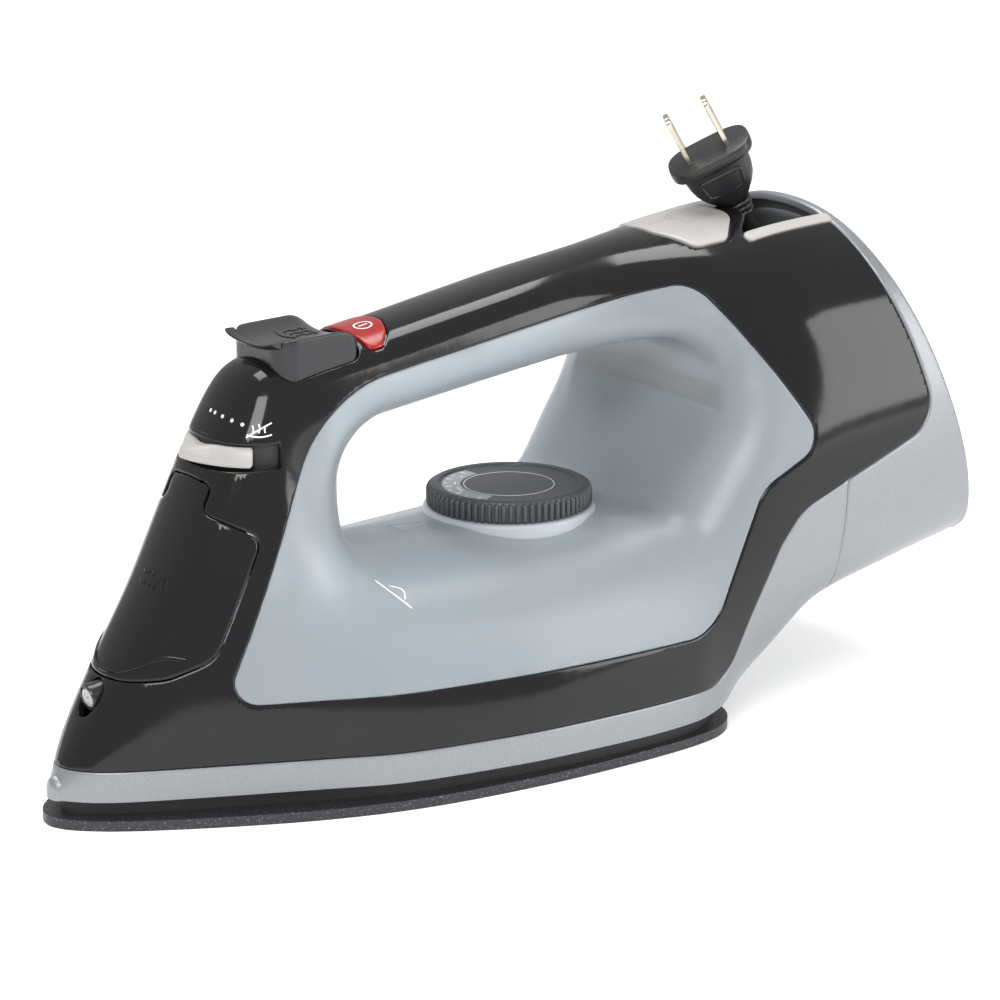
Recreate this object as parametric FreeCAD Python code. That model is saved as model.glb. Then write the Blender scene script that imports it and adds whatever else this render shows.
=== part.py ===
"""Retractable-cord steam iron: one STEP file per sub-part, in millimetres.

Frame: the nose points to -X, +Z is up, and the origin is on the sole face, at the middle of the soleplate's
length on the iron's plane of symmetry. The casing is one smooth outer form, lofted through upright sections.
Side-view outlines split that form into the black shell, the clear tank, the silver skirt and the rear cover.
"""
import math
import os

import FreeCAD
import Part

Vector = FreeCAD.Vector

# ---------------------------------------------------------------- driving dimensions
body_length = 305.0        # nose tip to the rear foot of the heel
body_width = 114.0         # widest place of the casing
body_height = 151.0        # sole face to the crest of the reel housing
wall = 2.5                 # casing wall
tank_wall = 2.0            # clear tank wall
gap = 0.4                  # gap round everything that moves
fit = 0.05                 # radial clearance of a shaft in its bush

sole_thickness = 3.0       # rim of the soleplate
casting_height = 9.0       # heated casting above the soleplate
steam_hole_radius = 1.6
element_radius = 3.2       # tube of the heating element

dial_radius = 25.0
dial_height = 6.5
dial_teeth = 72
spindle_radius = 3.0

slider_radius = 21.8       # outside of the steam slider's band, from the axis it turns on
slider_band = 1.8          # thickness of the band
slider_height = 7.2
slider_half_angle = 60.0
slider_sweep = 20.0        # the slider turns this far each way

button_length = 27.0       # steam button, along X
button_width = 28.0
button_travel = 3.0
piston_radius = 4.0

plug_lean = 34.0           # lean of the plug towards the nose
plug_turn = 34.0           # turn of the plug about its own length
blade_spacing = 12.7
blade_length = 17.0
blade_width = 6.35
blade_thickness = 1.5
cord_diameter = 5.4

reel_width = 28.0
reel_flange_radius = 45.0
reel_hub_radius = 21.0
reel_axle_radius = 4.0
cord_turns = 4             # turns side by side on the reel
cord_layers = 3
screw_radius = 1.9

# ---------------------------------------------------------------- scaling of the form
NOMINAL = (305.0, 114.0, 151.0)
kx = body_length / NOMINAL[0]
ky = body_width / NOMINAL[1]
kz = body_height / NOMINAL[2]

# Outer form: station x, then points (half width, height) from the bottom edge up to the crest.
SECTIONS = [
    (-105.0, [(3.6, 7.5), (3.8, 9), (3.8, 10.2), (3.6, 11.2), (3.2, 12), (2.6, 12.7), (1.9, 13.2),
        (1.2, 13.6), (0.6, 13.8), (0, 14)]),
    (-101.0, [(8.6, 7.5), (8.8, 10.5), (8.6, 13.5), (8.0, 16), (7.2, 18), (6.1, 19.8), (4.7, 21),
        (3.2, 21.8), (1.6, 22.2), (0, 22.4)]),
    (-93.0, [(14.2, 7.5), (14.5, 14), (14.0, 20), (13, 25), (11.6, 28.6), (9.8, 31.2), (7.8, 33),
        (5.4, 34.3), (2.7, 35), (0, 35.3)]),
    (-84.0, [(18.9, 7.5), (19.2, 16), (18.6, 24), (17.4, 31), (15.8, 37), (13.8, 41.6), (11.4, 45),
        (8.2, 47.4), (4.2, 48.8), (0, 49.2)]),
    (-72.0, [(24.5, 7.5), (24.8, 17), (24.2, 28), (22.4, 39), (20.2, 48), (17.6, 55), (14.8, 60.5),
        (11, 64.6), (5.8, 67), (0, 67.8)]),
    (-60.0, [(30, 7.5), (30.3, 17), (29.4, 32), (26.4, 47), (23.3, 60), (20.4, 71), (17.4, 80), (13, 87),
        (7, 91.2), (0, 92.4)]),
    (-50.0, [(34.5, 7.5), (34.8, 17), (33.6, 33), (29.6, 49), (25.6, 64), (22.2, 79), (19.2, 92),
        (15, 103.5), (8.4, 111.5), (0, 114)]),
    (-40.0, [(39, 7.5), (39.3, 17), (37.8, 33), (33, 49), (27.6, 64), (23.2, 80), (20, 97), (17, 112),
        (10.5, 121.6), (0, 124)]),
    (-20.0, [(47.6, 7.5), (47.8, 17), (46, 33), (40, 48.5), (30, 60), (21, 73), (18, 92), (18.5, 112),
        (13, 123.5), (0, 127)]),
    (0.0, [(52, 7.5), (52.2, 17), (50, 33), (43.6, 49), (31, 60.5), (18, 68), (16, 90), (18.8, 113),
        (13.6, 126), (0, 130)]),
    (30.0, [(56, 7.5), (56.2, 17), (54, 33), (47, 49.5), (34.5, 60.5), (20, 67.5), (16.5, 92),
        (19.2, 117), (14, 131), (0, 135)]),
    (60.0, [(57, 7.5), (57, 17), (55.2, 33), (49, 50), (38, 61.5), (25, 70.5), (18.5, 94), (19.8, 121),
        (14.4, 135.6), (0, 140)]),
    (80.0, [(55.5, 7.5), (56, 17), (55, 33), (51.6, 50), (45.6, 64), (37, 78), (29, 97), (23.5, 119),
        (16, 137), (0, 143)]),
    (95.0, [(49.5, 7.5), (51.5, 17), (53, 33), (53.2, 50), (51.2, 66), (47, 83), (39.6, 102), (31, 122),
        (19, 139), (0, 145)]),
    (112.0, [(40, 13), (46.4, 21), (51.6, 36), (54.4, 52), (54.8, 69), (52.4, 88), (46.4, 107), (37, 126),
        (22, 141.6), (0, 147)]),
    (135.0, [(38, 30.5), (47.4, 36.5), (53, 48), (55.6, 63), (56, 79), (54, 96), (48.6, 114.5),
        (38.6, 132), (22.4, 145), (0, 149)]),
    (165.0, [(37, 38), (47.6, 43.6), (53.4, 54.4), (56.4, 68), (57, 83), (55.2, 99), (49.4, 118),
        (38.4, 135), (21.6, 147), (0, 150.8)]),
    (202.0, [(36, 45), (47, 50.4), (53, 61), (56.2, 74), (56.8, 88), (55, 103), (49, 121), (38, 137.6),
        (21.4, 149), (0, 152.6)]),
]

REAR_FOOT = (197.0, 44.0)      # lower end of the flat rear face, side view
REAR_CREST = (158.4, 151.0)    # its upper end

# Side-view outlines: corners (x, z, corner radius).
WINDOW = [(-66, 33.3, 6), (-24, 115, 40), (100, 134, 9), (129, 86, 8), (107, 75, 14), (89, 33.3, 16)]
OPENING = [(-15, 66.5, 9), (-15, 102, 17), (103, 118, 10), (103, 94, 24), (85, 66.5, 8)]
BLACK = [(-130, 16.4, 0), (96, 16.4, 14), (113, 56, 4), (121, 66.5, 16), (173, 87, 12), (154, 154, 0),
    (146, 175, 0), (-130, 175, 0)]
DOOR = [(-93.5, 41, 0), (-79, 37.5, 6), (-58.5, 70, 6), (-55, 90.4, 2), (-75, 90.4, 0), (-110, 70, 0)]
PARTING_X = 138.0

# Plan outline of the soleplate, half of it: nose to rear.
SOLE_HALF = [(-106.6, 5.2), (-101, 11.6), (-84, 23), (-63, 34), (-42, 43.2), (-18, 50.6), (8, 54.8),
    (34, 56.8), (60, 56.8), (82, 55.2), (94, 51.6), (102, 44), (106, 30)]
SOLE_ENDS = (-108.0, 107.6)
BASE_HALF = [(-104.6, 4.6), (-99, 10), (-84, 18.9), (-60, 30), (-40, 39), (-20, 47.6), (0, 52), (30, 56),
    (60, 57), (80, 55.5), (92, 51), (99, 44), (103, 30)]
BASE_ENDS = (-106.0, 104.2)


def v(x, y, z):
    """A point given in nominal coordinates, scaled to the driving dimensions."""
    return Vector(x * kx, y * ky, z * kz)


# ---------------------------------------------------------------- helpers
def rounded(points, closed=True):
    """A wire of straight runs joined by tangent arcs, through (Vector, radius) corners."""
    n = len(points)
    ends = []
    for i, (p, r) in enumerate(points):
        if not closed and i in (0, n - 1) or r <= 0:
            ends.append((p, None, p))
            continue
        a = points[i - 1][0] - p
        b = points[(i + 1) % n][0] - p
        half = a.getAngle(b) / 2
        cut = min(r / math.tan(half), 0.49 * a.Length, 0.49 * b.Length)
        a.normalize()
        b.normalize()
        mid = a + b
        mid.normalize()
        centre = p + mid * (cut / math.cos(half))
        radius = cut * math.tan(half)
        ends.append((p + a * cut, centre - mid * radius, p + b * cut))
    edges = []
    for i, (start, through, end) in enumerate(ends):
        if through is not None:
            edges.append(Part.Arc(start, through, end).toShape())
        if i < n - 1 or closed:
            following = ends[(i + 1) % n][0]
            if (following - end).Length > 1e-6:
                edges.append(Part.LineSegment(end, following).toShape())
    return Part.Wire(edges)


def side_prism(corners, half_width=90.0, grow=0.0):
    """A side-view outline, grown by grow, extruded across the iron."""
    wire = rounded([(Vector(x * kx, -half_width, z * kz), r) for x, z, r in corners])
    if grow:
        wire = wire.makeOffset2D(grow)
    return Part.Face(wire).extrude(Vector(0, 2 * half_width, 0))


def plan_wire(half, ends, z, inset=0.0):
    """A smooth closed plan outline, moved inwards by inset."""
    pts = [Vector(ends[0] * kx, 0, 0)] + [Vector(x * kx, y * ky, 0) for x,
        y in half] + [Vector(ends[1] * kx, 0, 0)]
    moved = []
    for i, p in enumerate(pts):
        before = pts[i - 1] if i else Vector(pts[1].x, -pts[1].y, 0)
        after = pts[i + 1] if i < len(pts) - 1 else Vector(pts[-2].x, -pts[-2].y, 0)
        along = after - before
        along.normalize()
        moved.append(p + Vector(along.y, -along.x, 0) * inset)
    moved[0].y = moved[-1].y = 0
    moved = [p for i, p in enumerate(moved) if i in (0, len(moved) - 1) or p.y > 0.6]
    loop = moved + [Vector(p.x, -p.y, 0) for p in reversed(moved[1:-1])]
    curve = Part.BSplineCurve()
    curve.interpolate([Vector(p.x, p.y, z) for p in loop], PeriodicFlag=True)
    return Part.Wire(curve.toShape())


def slab(half, ends, z0, z1, inset=0.0):
    """A plan outline extruded from z0 to z1."""
    return Part.Face(plan_wire(half, ends, z0, inset)).extrude(Vector(0, 0, z1 - z0))


def cylinder(centre, direction, radius, length):
    return Part.makeCylinder(radius, length, centre, direction)


def tube(centre, direction, outer, inner, length):
    return cylinder(centre, direction, outer, length).cut(cylinder(centre, direction, inner, length))


def upright(corners, z0, z1):
    """A plan outline of (x, y, radius) corners, extruded from z0 to z1."""
    wire = rounded([(Vector(x, y, z0), r) for x, y, r in corners])
    return Part.Face(wire).extrude(Vector(0, 0, z1 - z0))


def rounded_plan(x, y, length, width, radius, z0, z1):
    a, b = length / 2, width / 2
    return upright([(x - a, y - b, radius), (x + a, y - b, radius), (x + a, y + b, radius),
        (x - a, y + b, radius)], z0, z1)


def pipe(points, radius):
    """A round bar along straight runs and tangent arcs."""
    path = rounded(points, closed=False)
    start = path.OrderedEdges[0]
    tangent = start.tangentAt(start.FirstParameter)
    profile = Part.Wire(Part.makeCircle(radius, start.valueAt(start.FirstParameter), tangent))
    return path.makePipeShell([profile], True, False)


def screw(centre, direction, length, head=3.6):
    """A pan-head screw: centre is under the head, direction points from the head to the tip."""
    back = Vector(direction) * -1
    body = cylinder(centre, direction, screw_radius, length).fuse(cylinder(centre, back, head, 2.2))
    slot = cylinder(centre + back * 1.2, back, 1.5, 2.0)
    return body.cut(slot).removeSplitter()


def save(name, *shapes):
    """Writes one node: each of its solids stays a separate solid."""
    solids = [s for shape in shapes for s in shape.Solids]
    whole = solids[0] if len(solids) == 1 else Part.makeCompound(solids)
    whole.exportStep(f"parts/{name}.step")
    print(name, len(solids), "solids", round(sum(s.Volume for s in solids) / 1000, 2), "cm3",
        all(s.isValid() for s in solids))


# ---------------------------------------------------------------- the outer form
def between(xs, ys, x):
    """Smooth value at x through the points (xs, ys), without overshoot."""
    n = len(xs)
    if x <= xs[0]:
        return ys[0]
    if x >= xs[-1]:
        return ys[-1]
    k = max(i for i in range(n - 1) if xs[i] <= x)
    slope = [(ys[i + 1] - ys[i]) / (xs[i + 1] - xs[i]) for i in range(n - 1)]

    def tangent(i):
        if i in (0, n - 1):
            return slope[0] if i == 0 else slope[-1]
        a, b = slope[i - 1], slope[i]
        return 0.0 if a * b <= 0 else 2 * a * b / (a + b)

    h = xs[k + 1] - xs[k]
    t = (x - xs[k]) / h
    start = (1 + 2 * t) * (1 - t) ** 2 * ys[k] + t * (1 - t) ** 2 * h * tangent(k)
    return start + t * t * (3 - 2 * t) * ys[k + 1] + t * t * (t - 1) * h * tangent(k + 1)


def section(x):
    """Points of the upright section at station x, from the bottom edge to the crest."""
    xs = [station for station, points in SECTIONS]
    out = []
    for i in range(len(SECTIONS[0][1])):
        w = between(xs, [points[i][0] for station, points in SECTIONS], x)
        z = between(xs, [points[i][1] for station, points in SECTIONS], x)
        out.append(Vector(0, w * ky, z * kz))
    return out


def section_wire(x, inset):
    """One section as a closed wire. The inner form is moved in by inset, and set back from the nose."""
    shift = inset * max(0.0, min(1.0, (10 - x) / 50))
    right = section(x - shift / kx)
    if inset:
        moved = []
        for i, p in enumerate(right):
            before = right[i - 1] if i else Vector(0, p.y, p.z - 1)
            after = right[i + 1] if i < len(right) - 1 else Vector(0, -right[-2].y, right[-2].z)
            along = after - before
            along.normalize()
            moved.append(p + Vector(0, -along.z, along.y) * inset)
        moved[0].z = right[0].z + inset
        moved[-1] = Vector(0, 0, right[-1].z - inset)
        right = moved
    loop = [Vector(x * kx, p.y, p.z) for p in right] + [Vector(x * kx, -p.y,
        p.z) for p in reversed(right[:-1])]
    curve = Part.BSplineCurve()
    curve.interpolate(loop)
    return Part.Wire([curve.toShape(), Part.LineSegment(loop[-1], loop[0]).toShape()])


def form(inset=0.0):
    """The whole casing as one solid, or its inside when inset is the wall."""
    first = -105 if not inset else -94
    stations = [first + (202 - first) * i / 38 for i in range(39)]
    solid = Part.makeLoft([section_wire(x, inset) for x in stations], True, True)
    foot = v(REAR_FOOT[0], 0, REAR_FOOT[1])
    crest = v(REAR_CREST[0], 0, REAR_CREST[1])
    up = (crest - foot).normalize()
    back = Vector(up.z, 0, -up.x)
    corner = foot - up * 100 - back * inset + Vector(0, -150, 0)
    across = Vector(0, 300, 0)
    beyond = Part.Face(Part.makePolygon([corner, corner + up * 350, corner + up * 350 + across,
        corner + across, corner]))
    return solid.cut(beyond.extrude(back * 150))


def box(x0, x1, y0, y1, z0, z1):
    """A box between two corners in nominal coordinates."""
    a, b = v(x0, y0, z0), v(x1, y1, z1)
    return Part.makeBox(b.x - a.x, b.y - a.y, b.z - a.z, a)


def post(x, y, z0, z1, radius):
    """An upright cylinder; its ends are nominal, its radius is true."""
    return cylinder(v(x, y, z0), Vector(0, 0, 1), radius, (z1 - z0) * kz)


def place(shape, at, axis, turn=0.0):
    """Moves a shape built on the origin along +Z so that it stands at a point, along an axis."""
    out = shape.copy()
    out.rotate(Vector(), Vector(0, 0, 1), turn)
    spin = FreeCAD.Rotation(Vector(0, 0, 1), axis)
    out.Placement = FreeCAD.Placement(at, spin).multiply(out.Placement)
    return out


os.makedirs("parts", exist_ok=True)

outer = form()
inner = form(wall)
opening = side_prism(OPENING)
shell = outer.cut(inner.cut(side_prism(OPENING, grow=wall))).cut(opening)
shell = shell.cut(slab(BASE_HALF, BASE_ENDS, 0, 17 * kz, 2.9))
black = side_prism(BLACK)
window = side_prism(WINDOW)
door_at = v(-60.4, 0, 91.6)
across = Vector(0, 1, 0)
slope = (v(REAR_CREST[0], 0, REAR_CREST[1]) - v(REAR_FOOT[0], 0, REAR_FOOT[1])).normalize()
rear = Vector(slope.z, 0, -slope.x)

# ---------------------------------------------------------------- sole
casting_top = 12 * kz
sole = slab(SOLE_HALF, SOLE_ENDS, 0, sole_thickness)
sole = sole.fuse(slab(BASE_HALF, BASE_ENDS, sole_thickness, casting_top, 6.2))
gallery = slab(BASE_HALF, BASE_ENDS, 5 * kz, casting_top,
    9.2).cut(slab(BASE_HALF, BASE_ENDS, 0, casting_top, 14))
sole = sole.cut(gallery.common(box(-200, 72, -100, 100, 0, 40)))
chamber = upright([(v(-30, 0, 0).x, -6, 4), (62 * kx, -17 * ky, 6), (62 * kx, 17 * ky, 6),
    (v(-30, 0, 0).x, 6, 4)], 6 * kz, casting_top)
element_z = 8.6 * kz
element_path = [(v(84, -34, 0), 0), (v(-54, -20, 0), 9), (v(-54, 20, 0), 9), (v(84, 34, 0), 0)]
element_path = [(p + Vector(0, 0, element_z), r) for p, r in element_path]
element = pipe(element_path, element_radius)
sole = sole.cut(chamber).cut(element)
steam_holes = plan_wire(BASE_HALF, BASE_ENDS, 0, 11.6).discretize(Number=60)
for p in steam_holes:
    if p.x < 66 * kx:
        sole = sole.cut(cylinder(p, Vector(0, 0, 1), steam_hole_radius, 6 * kz))
for i in range(6):
    for side in (-1, 1):
        spot = v(-16 + 14 * i, side * (4 + 1.6 * i), 0)
        sole = sole.cut(cylinder(spot, Vector(0, 0, 1), steam_hole_radius, 7 * kz))
ends = [cylinder(v(78, side * 33.4, 0) + Vector(0, 0, element_z), Vector(0, 0, 1), 1.5,
    15 * kz) for side in (-1, 1)]
sole_screws = []
for x, y in ((-76, 0), (90, 15), (90, -15)):
    sole_screws.append(screw(v(x, y, 0) + Vector(0, 0, 16.5 * kz), Vector(0, 0, -1), 9, 3.2))
all_sole_screws = Part.makeCompound(sole_screws)
save("soleplate", sole.cut(ends).cut(all_sole_screws))
save("heating_element", element.fuse(ends))
save("sole_screws", *sole_screws)

cover_top = casting_top + 1.5
cover = slab(BASE_HALF, BASE_ENDS, casting_top, cover_top, 7.4)
cover = cover.cut(post(-36.5, 0, 0, 40, 3.0)).cut(box(74, 120, -50, 50, 0, 40))
cover = cover.cut(cylinder(v(52, 0, 0), Vector(0, 0, 1), 9.0, 40))
save("steam_chamber_cover", cover.cut(all_sole_screws))

# ---------------------------------------------------------------- heat shield between sole and casing
shield = slab(BASE_HALF, BASE_ENDS, sole_thickness, 16.5 * kz, 3.2)
shield = shield.cut(slab(BASE_HALF, BASE_ENDS, 0, 15 * kz, 5.6))
shield = shield.cut(cylinder(v(52, 0, 0), Vector(0, 0, 1), 9.6, 40)).cut(post(-36.5, 0, 0, 40, 5.5))
for side in (-1, 1):
    shield = shield.cut(cylinder(v(78, side * 33.4, 0), Vector(0, 0, 1), 3.0, 40))
save("heat_shield", shield.cut(all_sole_screws))

# ---------------------------------------------------------------- casing
skirt = shell.cut(black).common(box(-200, PARTING_X, -100, 100, 0, 200))
heel_screw_at = v(124, 0, 44)
heel_holes = cylinder(heel_screw_at + Vector(0, -100, 0), across, 3.9, 200)
save("base_skirt", skirt.cut(heel_holes))

cover = shell.cut(black).common(box(PARTING_X, 300, -100, 100, 0, 200))
lower = v(REAR_FOOT[0], 0, REAR_FOOT[1])
upper = v(REAR_CREST[0], 0, REAR_CREST[1])
vents = []
for i in range(7):
    for j in range(-1, 2):
        spot = lower + (upper - lower) * (0.30 + 0.06 * i)
        slit = Part.makeBox(20, 12, 2.0, Vector(-10, -6 + 18 * j, -1))
        slit.Placement = FreeCAD.Placement(spot, FreeCAD.Rotation(Vector(1, 0, 0), rear))
        vents.append(slit)
rear_cover = cover
for slit in vents:
    rear_cover = rear_cover.cut(slit)
save("rear_cover", rear_cover)

slider_axis = v(-36.5, 0, 0)
slider_z = 96 * kz
up = Vector(0, 0, 1)


def wedge(radius, half_angle, z0, z1):
    """A pie slice pointing to the nose, about the slider's axis."""
    a = math.radians(half_angle)
    tip = slider_axis + Vector(0, 0, z0)
    far = radius * 1.5 / math.cos(a / 2)
    corners = [tip]
    for s in (-1.0, -0.5, 0.0, 0.5, 1.0):
        corners.append(tip + Vector(-math.cos(a * s) * far, math.sin(a * s) * far, 0))
    return Part.Face(Part.makePolygon(corners + [tip])).extrude(Vector(0, 0, z1 - z0))


def ring(outer_radius, inner_radius, z0, z1):
    return tube(slider_axis + Vector(0, 0, z0), up, outer_radius, inner_radius, z1 - z0)


body = shell.common(black).cut(window)
door_slab = side_prism(DOOR)
body = body.cut(door_slab.common(box(-200, 0, -60, 60, 0, 200)))
body = body.cut(cylinder(door_at + Vector(0, -7.5, 0), across, 2.5,
    15)).cut(cylinder(door_at + Vector(0, -11, 0), across, 1.0, 22))
body = body.cut(box(-200, -88.5, -40, 40, 31.2, 60))
band_in = slider_radius - slider_band
track = ring(60, band_in - gap, slider_z - gap, slider_z + slider_height + gap)
body = body.cut(track.common(wedge(60, slider_half_angle + slider_sweep + 3, 0, 400)))
finger_slot = ring(60, 10, slider_z + 1.5, slider_z + slider_height - 1.5)
body = body.cut(finger_slot.common(wedge(60, 9 + slider_sweep, 0, 400)))
button_x = -37 * kx
button_cut = rounded_plan(button_x + button_length / 2, 0, button_length + 2 * gap,
    button_width + 2 * gap, 3.4, 104 * kz, 200)
body = body.cut(button_cut)
POWER_HALF = [(-8.2, 4, 9), (-6.9, 13.4, 1.5), (-2.2, 13.6, 1.5), (1.6, 9.5, 5), (4.2, 3, 8)]
power_corners = [(x * kx, y * ky, r) for x, y, r in POWER_HALF]
power_corners += [(x * kx, -y * ky, r) for x, y, r in reversed(POWER_HALF)]
power_wire = rounded([(Vector(x, y, 118 * kz), r) for x, y, r in power_corners]).makeOffset2D(gap)
body = body.cut(Part.Face(power_wire).extrude(up * 100))
REWIND_HALF = [(101, 6, 8), (107.2, 19.2, 4), (118.5, 20.5, 3), (129.3, 9, 12)]
SLOT_OUTLINE = [(124.2, 20, 1), (158, 20, 0), (158, -20, 0), (124.2, -20, 1), (135, -9.5, 12), (135, 9.5, 12)]
rewind_corners = [(x * kx, y * ky, r) for x, y, r in REWIND_HALF]
rewind_corners += [(x * kx, -y * ky, r) for x, y, r in reversed(REWIND_HALF)]
rewind_wire = rounded([(Vector(x, y, 138 * kz), r) for x, y, r in rewind_corners]).makeOffset2D(0.7)
body = body.cut(Part.Face(rewind_wire).extrude(up * 100))
slot_corners = [(x * kx, y * ky, r) for x, y, r in SLOT_OUTLINE]
body = body.cut(upright(slot_corners, 136 * kz, 200))
for side in (-1, 1):
    body = body.cut(box(124.2, 158, min(20 * side, 24 * side), max(20 * side, 24 * side), 136, 200))
nozzle_from = v(-80, 0, 37.6)
nozzle_axis = (v(-93.4, 0, 34.8) - nozzle_from).normalize()
nozzle_length = (v(-93.4, 0, 34.8) - nozzle_from).Length
nozzle = cylinder(nozzle_from, nozzle_axis, 3.6, nozzle_length)
body = body.cut(nozzle)
body = body.cut(heel_holes)
save("body_shell", body)

# ---------------------------------------------------------------- clear tank
tank = outer.common(window).cut(form(tank_wall).cut(side_prism(OPENING, grow=tank_wall))).cut(opening)
dial_at = v(52, 0, 66.5)
spindle_hole = cylinder(dial_at - Vector(0, 0, 60), up, spindle_radius + fit, 90)
tank = tank.cut(spindle_hole)
grip_part = box(4, 200, -100, 100, 68.6, 200)
save("water_tank", tank.cut(grip_part))
save("grip_insert", tank.common(grip_part))

floor_top = 33.3 * kz
inside = inner.cut(side_prism(OPENING, grow=wall))
tank_floor = inside.common(box(-62, 104, -100, 100, 30.5, 33.3)).cut(spindle_hole)
tank_floor = tank_floor.cut(post(-36.5, 0, 0, 60, 2.0))

bulkhead = inside.common(box(104.2, 106.4, -100, 100, 30.5, 112))
save("tank_bulkhead", bulkhead)

# ---------------------------------------------------------------- dial and thermostat
collar = tube(dial_at, up, dial_radius + 1.2, spindle_radius + fit, 0.8)
save("dial_collar", collar)

dial_z = dial_at.z + 1.2
dial = Part.makeCylinder(dial_radius, dial_height, Vector(dial_at.x, 0, dial_z))
dial = dial.makeChamfer(1.0,
    [e for e in dial.Edges if e.BoundBox.ZMin > dial_z + dial_height - 0.01 and e.BoundBox.XLength > 5])
for i in range(dial_teeth):
    angle = 2 * math.pi * i / dial_teeth
    notch = cylinder(Vector(dial_at.x + (dial_radius + 0.35) * math.cos(angle),
        (dial_radius + 0.35) * math.sin(angle), dial_z), up, 0.75, dial_height)
    dial = dial.cut(notch)
socket = Part.makeCylinder(spindle_radius, dial_height - 2, Vector(dial_at.x, 0, dial_z))
dial = dial.cut(socket)
save("temperature_dial", dial)

thermostat_top = 24 * kz
spindle = cylinder(Vector(dial_at.x, 0, thermostat_top + gap), up, spindle_radius,
    dial_z + dial_height - 2 - thermostat_top - gap)
save("dial_spindle", spindle)

thermostat = cylinder(v(52, 0, 0) + Vector(0, 0, cover_top), up, 7.0, thermostat_top - cover_top)
thermostat = thermostat.fuse(box(44, 60, -5.5, 5.5, 19.5, 22))
save("thermostat", thermostat)

# ---------------------------------------------------------------- water door
lid = outer.cut(inner).common(side_prism(DOOR, grow=-gap))
knuckle = cylinder(door_at + Vector(0, -7, 0), across, 2.0, 14)
bridge = Part.makeBox(3.0, 14, 4.0, door_at + Vector(-1.2, -7, -4.6))
pin_radius = 1.0
lid = lid.fuse(knuckle).fuse(bridge).cut(cylinder(door_at + Vector(0, -20, 0), across, pin_radius + fit, 40))
save("water_door", lid.cut(cylinder(nozzle_from, nozzle_axis, 3.6 + gap, nozzle_length + 5)))
save("door_hinge_pin", cylinder(door_at + Vector(0, -11, 0), across, pin_radius, 22))

tray_corners = [(-74, 35.5, 0), (-53.5, 69, 4), (-50, 90, 0), (-52.4, 90, 0), (-56, 70, 6), (-77, 36.5, 0)]
tray = inner.common(side_prism(tray_corners))
fill_at = v(-65.5, 0, 55)
fill_axis = Vector(-math.cos(math.radians(31.5)), 0, math.sin(math.radians(31.5)))
fill_hole = cylinder(fill_at - fill_axis * 10, fill_axis, 7.0, 20)
fill_tray = tray.cut(fill_hole)
seal = cylinder(v(-65.5, 0, 55) - fill_axis * 2.4, fill_axis, 6.3, 12)
seal = seal.common(inner).cut(lid)
save("door_seal", seal)

# ---------------------------------------------------------------- spray nozzle
nozzle_bore = cylinder(nozzle_from - nozzle_axis, nozzle_axis, 1.2, nozzle_length + 2)
tip_at = nozzle_from + nozzle_axis * nozzle_length
save("spray_nozzle", nozzle.cut(nozzle_bore))
save("nozzle_tip", tube(tip_at, nozzle_axis, 2.8, 0.5, 0.9))

# ---------------------------------------------------------------- steam slider and valve
band = ring(slider_radius, band_in, slider_z, slider_z + slider_height).common(wedge(60,
    slider_half_angle, 0, 400))
tab = Part.makeBox(6.2, 5.0, slider_height - 2.4, slider_axis + Vector(-slider_radius - 5, -2.5,
    slider_z + 1.2))
tab = tab.makeFillet(1.2, [e for e in tab.Edges if e.BoundBox.XMax < slider_axis.x - slider_radius - 4.9])
finger = Part.makeBox(slider_radius + 1.4, 5.0, slider_height - 4.4,
    slider_axis + Vector(-slider_radius + 0.6, -2.5, slider_z + 2.2))
save("steam_slider", band.fuse(tab).fuse(finger).removeSplitter())

needle_top = slider_z + 0.2
needle = cylinder(slider_axis + Vector(0, 0, 18.5 * kz), up, 1.6, needle_top - 18.5 * kz)
needle = needle.fuse(Part.makeCone(0.6, 1.6, 2.2, slider_axis + Vector(0, 0, 18.5 * kz - 2.2)))
needle = needle.fuse(cylinder(slider_axis + Vector(0, 0, needle_top), up, 5.0, 2.0))
save("steam_valve_needle", needle)
seat = tube(slider_axis + Vector(0, 0, cover_top), up, 5.5, 1.9, 30.5 * kz - cover_top)
save("valve_seat", seat.cut(ring(20, 4.5, cover_top + 4, 28 * kz)))

# ---------------------------------------------------------------- steam button and pumps
button_top = 132 * kz
button = rounded_plan(button_x + button_length / 2, 0, button_length, button_width, 3.0, 114 * kz, button_top)
button = button.cut(rounded_plan(button_x + button_length / 2, 0, button_length - 4, button_width - 4,
    1.5, 0, button_top - 3.0))
dish = cylinder(Vector(button_x - 20, 0, button_top + 59), Vector(1, 0, 0), 60, 80)
button = button.cut(dish)
pump_x = button_x + button_length / 2
for side in (-1, 1):
    button = button.fuse(cylinder(Vector(pump_x, side * 7.0, 113.2 * kz), up, 2.6,
        button_top - 2.6 - 113.2 * kz))
save("steam_button", button.removeSplitter())



def coil_spring(at, radius, length, rise, wire_radius):
    """A coil standing on a point: a round wire along a smooth curve through eight points a turn."""
    steps = round(8 * length / rise)
    points = []
    for i in range(steps + 1):
        a = 2 * math.pi * i / 8
        points.append(at + Vector(radius * math.cos(a), radius * math.sin(a), length * i / steps))
    curve = Part.BSplineCurve()
    curve.interpolate(points)
    profile = Part.Wire(Part.makeCircle(wire_radius, points[0], curve.tangent(curve.FirstParameter)[0]))
    return Part.Wire(curve.toShape()).makePipeShell([profile], True, True)


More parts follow.
